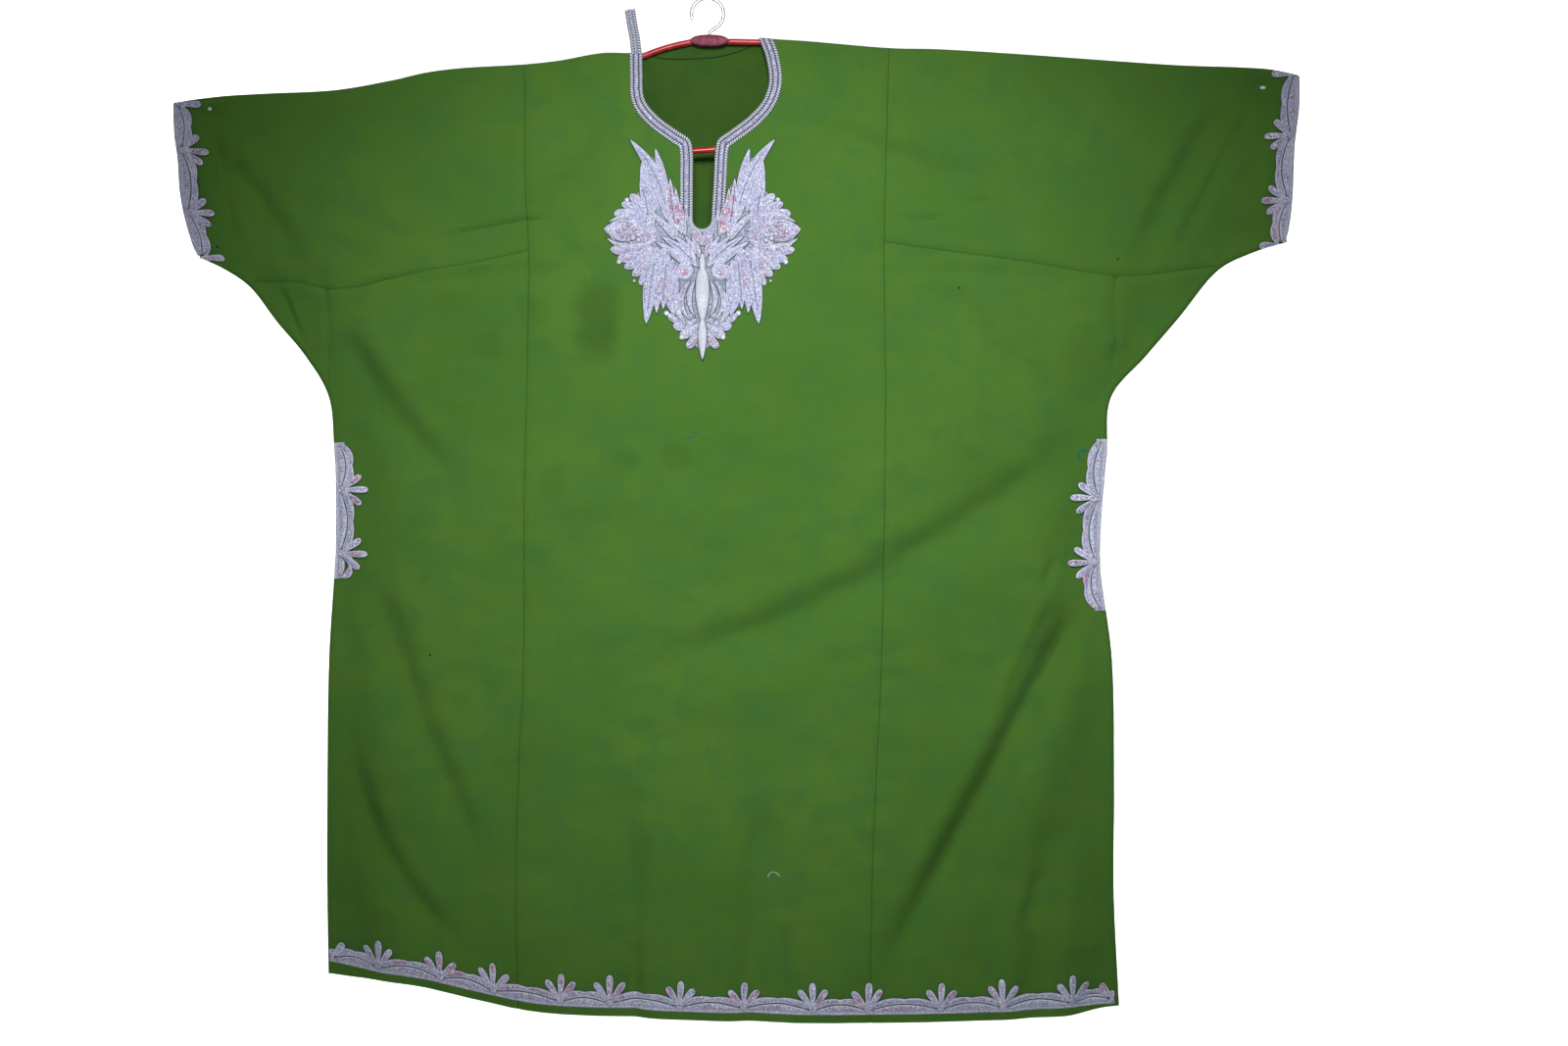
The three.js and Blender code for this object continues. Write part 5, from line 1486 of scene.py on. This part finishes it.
def at_depth(line, y):
    """The points of a line in x and z, stood at a depth y."""
    return np.stack([line[:, 0], np.broadcast_to(y, len(line)), line[:, 1]], axis=1)


BOSS = dict(x=2.2, y=-1.9, z=-46.2, width=43.0, height=13.0, depth=10.0)
# the boss's section, from the middle of its face out to its rim: share of its size, of its depth
BOSS_PROFILE = [
    (0.12, 0.76), (0.62, 0.76), (0.68, 0.86), (0.74, 0.98), (0.84, 0.94), (0.93, 0.8), (0.985, 0.5),
    (1.0, 0.0),
]
BOSS_CORNER = 0.8
HOOK = dict(radius=18.0, wire=1.8, stem_x=2.2, from_angle=-62.0, to_angle=200.0)
TUBE_RADIUS, TUBE_END = 3.3, 0.55
TUBE_STOPS = (-15.5, 20.0)      # where the tube's two ends lie inside the boss
# a pin's section, from its foot in the cloth to its top: radius, height
PIN_PROFILE = [
    (0.5, -1.0), (0.5, 0.0), (1.2, 0.25), (1.9, 0.9), (2.15, 1.7), (1.9, 2.5), (1.2, 3.1),
    (0.3, 3.35),
]
PIN_LONG = {"left": 1.0, "right": 1.6}


def make_boss():
    """A flattened oval moulding with soft edges and a shallow panel on its face."""
    around = 48
    turn = np.linspace(0, 2 * np.pi, around, endpoint=False)
    profile = [(size, -y) for size, y in BOSS_PROFILE] + BOSS_PROFILE[-2::-1]
    layers = []
    for size, y in profile:
        inset = (1 - size) * BOSS["height"] * 0.5
        wide = np.sign(np.cos(turn)) * np.abs(np.cos(turn)) ** BOSS_CORNER
        x = (BOSS["width"] / 2 - inset) * wide + BOSS["x"]
        z = (BOSS["height"] / 2 - inset) * np.sin(turn) + BOSS["z"]
        layers.append(at_depth(np.stack([x, z], axis=1), y * BOSS["depth"] / 2 + BOSS["y"]))
    faces = round_faces(len(layers), around)
    piece = make_mesh("hanger_boss_plastic", np.vstack(layers) * MM, faces, sharp_degrees=50.0)
    dressed(piece, "hanger_mauve", ["hanger_boss"], HANGER_MAUVE)


def make_hanger():
    rows = np.array(HANGER, float)
    rows[0, 0], rows[-1, 0] = TUBE_STOPS
    tube = at_depth(centripetal(rows, np.linspace(0, 1, 181)), 0.0)
    tube_mesh("hanger_tube_plastic", tube, TUBE_RADIUS, 24, HANGER_RED, ["hanger_tube"],
              "hanger_red")
    turn = np.radians(np.linspace(HOOK["from_angle"], HOOK["to_angle"], 72))
    radius, wire, stem_x = HOOK["radius"], HOOK["wire"], HOOK["stem_x"]
    foot = BOSS["z"] + BOSS["height"] / 2 + 0.3
    arc = points(radius * np.cos(turn), wire - radius + radius * np.sin(turn))
    stem = [(stem_x, foot), (stem_x, foot + 1.2), (stem_x + 0.4, foot + 2.6)]
    line = at_depth(centripetal(np.vstack([stem, arc]), np.linspace(0, 1, 150)), 0.0)
    tube_mesh("hook_wire", line, wire, 16, STEEL, ["hook"], "steel")
    make_boss()


def make_pins():
    """Two white-headed pins that hold the sleeves out, each seated on the cloth."""
    around = 20
    turn = np.linspace(0, 2 * np.pi, around, endpoint=False)
    for name, (x, z) in PINS.items():
        skin = float(half_depth(-1, np.array([x]), np.array([z]))[0])
        rings = []
        for r, height in PIN_PROFILE:
            line = points(x + PIN_LONG[name] * r * np.cos(turn), z + r * np.sin(turn))
            rings.append(at_depth(line, -(skin + height + 0.1)))
        faces = round_faces(len(rings), around)
        piece = make_mesh(f"pin_{name}", np.vstack(rings) * MM, faces, sharp_degrees=50.0)
        dressed(piece, "steel", [], PIN_WHITE)


def make_threads():
    """A loose thread low on the front, and the stitching inside the back neck."""
    rows = [(68, -982), (69.5, -977), (74, -975.5), (79, -977.5), (81, -980)]
    line = centripetal(rows, np.linspace(0, 1, 30))
    y = -half_depth(-1, line[:, 0], line[:, 1]) - 0.5
    tube_mesh("loose_thread", at_depth(line, y), 0.4, 8, THREAD, [], "tilla")
    rows = [(-68, -62.5), (-45, -65.5), (-19, -65.3), (10, -63), (34, -57), (53, -50)]
    line = centripetal(rows, np.linspace(0, 1, 60))
    y = half_depth(1, line[:, 0], line[:, 1]) - CLOTH - 0.5
    tube_mesh("back_neck_stitches", at_depth(line, y), 0.6, 8, DARK_THREAD, [], "wool")


def make_braid_end():
    """The braid's loose end, standing up past the left shoulder."""
    rows = np.array([(-79.5, -62), (-81.5, -44), (-84.5, -28), (-87, -12)], float)
    line = centripetal(rows, np.linspace(0, 1, 20))
    work, ground = Work(FOLD_RADIUS), Work(FOLD_RADIUS)
    strip(ground, -1, line, 11.5, 0.3, 0.7)
    strip(work, -1, line, 3.2, 1.0, 1.2, tint=0.3, edge_from=1.0)
    for sign in (-1, 1):
        loops(work, moved_out(line, 3.7 * sign), -LOOP_LEAN * sign)
    for name, made, material in (("loops", work, TILLA), ("ground", ground, BRAID_GROUND)):
        made.piece(f"braid_end_{name}", [], material)


make_hanger()
make_pins()
make_threads()
make_braid_end()
BORDERS = make_borders()
BORDERS["motif"], BORDERS["motif_ground"] = make_motif(), make_mat()
BORDERS["braid"], BORDERS["braid_ground"] = make_braid()

# ---- cloth pieces ----


def cloth_piece(name, high, low, faces, flat, worked, area=None):
    """A cloth wall over the solid of that name; the embroidery that lies on it is not used."""
    vertices, whole = closed_wall(high, low, faces)
    piece = make_mesh(f"{name}_cloth", vertices, whole)
    dressed(piece, "wool", [name], WOOL, WOOL_SHADED_INSIDE)
    # The inside faces take the darker wool, painted shade; the outside and the rims keep the plain
    # wool.
    inner = np.arange(len(whole)) >= len(faces)
    inner[2 * len(faces):] = False
    piece.data.polygons.foreach_set("material_index", inner.astype(np.int32))
    places = np.empty(len(piece.data.vertices) * 3)
    piece.data.vertices.foreach_get("co", places)
    x, _, z = places.reshape(-1, 3).T / MM
    set_marks(piece.data, {"seam_mm": seam_distance(x, z)})


def grid_piece(name, grid, flat, worked, area=None, hole=None):
    faces = grid_faces(grid)
    if hole is not None:
        on_face = np.isnan(grid.angle.ravel())
        faces = cut_along(hole, grid.x.reshape(-1), grid.z.reshape(-1), faces, "outside", on_face)
    high, low = (lifted(grid, lift).reshape(-1, 3) for lift in (0.0, -CLOTH))
    cloth_piece(name, high, low, faces, flat, [BORDERS[key] for key in worked], area)


# flat sizes of the cloth in metres, and areas in square metres without the neck hole
PANEL_FLAT, FRONT_AREA, BACK_AREA = (0.41, 1.09), 0.425, 0.435
SLEEVE_ROUND, SLEEVE_LONG = 0.46, {"left": 0.40, "right": 0.46}
SIDE_WIDE, SIDE_LONG = {"left": 0.225, "right": 0.275}, 0.83
GUSSET_FLAT = (0.115, 0.115)


def make_cloth():
    on_front = ("hem_front", "motif", "motif_ground", "braid", "braid_ground")
    grid_piece("front_panel", centre_grid(-1), PANEL_FLAT, on_front, FRONT_AREA, neck_line())
    grid_piece("back_panel", centre_grid(1), PANEL_FLAT, ["hem_back"], BACK_AREA, back_neck_line())
    for name, half in HALVES.items():
        sleeve = (SLEEVE_ROUND, SLEEVE_LONG[name])
        grid_piece(f"sleeve_{name}", sleeve_grid(half), sleeve, [f"cuff_{name}"])
        rows, faces = gusset_parts(half)
        high, low = (np.vstack([lifted(row, lift)[0] for row in rows]) for lift in (0.0, -CLOTH))
        cloth_piece(f"gusset_{name}", high, low, faces, GUSSET_FLAT, [])
        for face, side in SIDES:
            flat, worked = (SIDE_WIDE[name], SIDE_LONG), [f"pocket_{face}_{name}"]
            grid_piece(f"{face}_side_{name}", side_grid(half, side), flat, worked)


make_cloth()

# ---- stage, light and camera ----


CAMERA_DISTANCE = 3.2
PHOTO_WIDTH_AT_CLOTH = 1.76
CAMERA_X, CAMERA_Z = 0.0858, -0.587
FLOOR_Z, WALL_Y, SWEEP_BEND, SWEEP_HALF = -2.35, 5.6, 0.5, 6.0
PAINT = 0.86


def make_stage():
    """A pale floor that curves up into a pale wall behind the garment."""
    bend, count = SWEEP_BEND, 16
    profile = [(-SWEEP_HALF, FLOOR_Z), (WALL_Y - bend, FLOOR_Z)]
    for index in range(1, count + 1):
        turn = math.radians(90 * index / count)
        y, z = WALL_Y - bend + bend * math.sin(turn), FLOOR_Z + bend - bend * math.cos(turn)
        profile.append((y, z))
    profile.append((WALL_Y, 3.0))
    vertices = np.array([(x, y, z) for y, z in profile for x in (-SWEEP_HALF, SWEEP_HALF)])
    faces = [(2 * k, 2 * k + 1, 2 * k + 3, 2 * k + 2) for k in range(len(profile) - 1)]
    mesh = bpy.data.meshes.new("studio_sweep")
    mesh.from_pydata(vertices.tolist(), [], faces)
    mesh.polygons.foreach_set("use_smooth", [True] * len(faces))
    sweep = bpy.data.objects.new("studio_sweep", mesh)
    bpy.context.scene.collection.objects.link(sweep)
    paint = Stuff("studio_paint")
    colour = paint.blend(paint.noise(300.0)["Fac"], (PAINT,) * 3, (PAINT * 0.97,) * 3)
    mesh.materials.append(paint.set(Base_Color=colour, Roughness=0.8))


def add_lamp(name, kind, place, aim, **settings):
    light = bpy.data.lights.new(name, kind)
    for key, value in settings.items():
        setattr(light, key, value)
    lamp = bpy.data.objects.new(name, light)
    lamp.location = place
    lamp.rotation_euler = (Vector(aim) - Vector(place)).to_track_quat("-Z", "Y").to_euler()
    bpy.context.scene.collection.objects.link(lamp)


def make_light():
    """A soft key that fades towards cuffs and hem, two lights for the wall and a dim sky."""
    add_lamp("key", "SPOT", (0.06, -1.85, 0.36), (0.07, 0, -0.5), energy=168,
             spot_size=math.radians(46), spot_blend=1.0, shadow_soft_size=0.28,
             color=(1.0, 0.99, 0.96))
    for name, x in (("wall_left", -3.7), ("wall_right", 3.7)):
        add_lamp(name, "AREA", (x, WALL_Y - 1.5, -0.6), (0.2 * x, WALL_Y, -0.7), shape="RECTANGLE",
                 size=0.6, size_y=3.6, energy=270)
    world = bpy.data.worlds.new("studio_air")
    world.use_nodes = True
    sky = world.node_tree.nodes["Background"].inputs
    sky["Color"].default_value, sky["Strength"].default_value = (1, 1, 1, 1), 0.16
    bpy.context.scene.world = world


def make_camera():
    camera = bpy.data.cameras.new("photo_camera")
    camera.sensor_width = 36.0
    camera.lens = camera.sensor_width * CAMERA_DISTANCE / PHOTO_WIDTH_AT_CLOTH
    eye = bpy.data.objects.new("photo_camera", camera)
    eye.location = (CAMERA_X, -CAMERA_DISTANCE, CAMERA_Z)
    eye.rotation_euler = (math.radians(90), 0, 0)
    bpy.context.scene.collection.objects.link(eye)
    bpy.context.scene.camera = eye


make_stage()
make_light()
make_camera()
bpy.context.scene.view_settings.view_transform = "Standard"
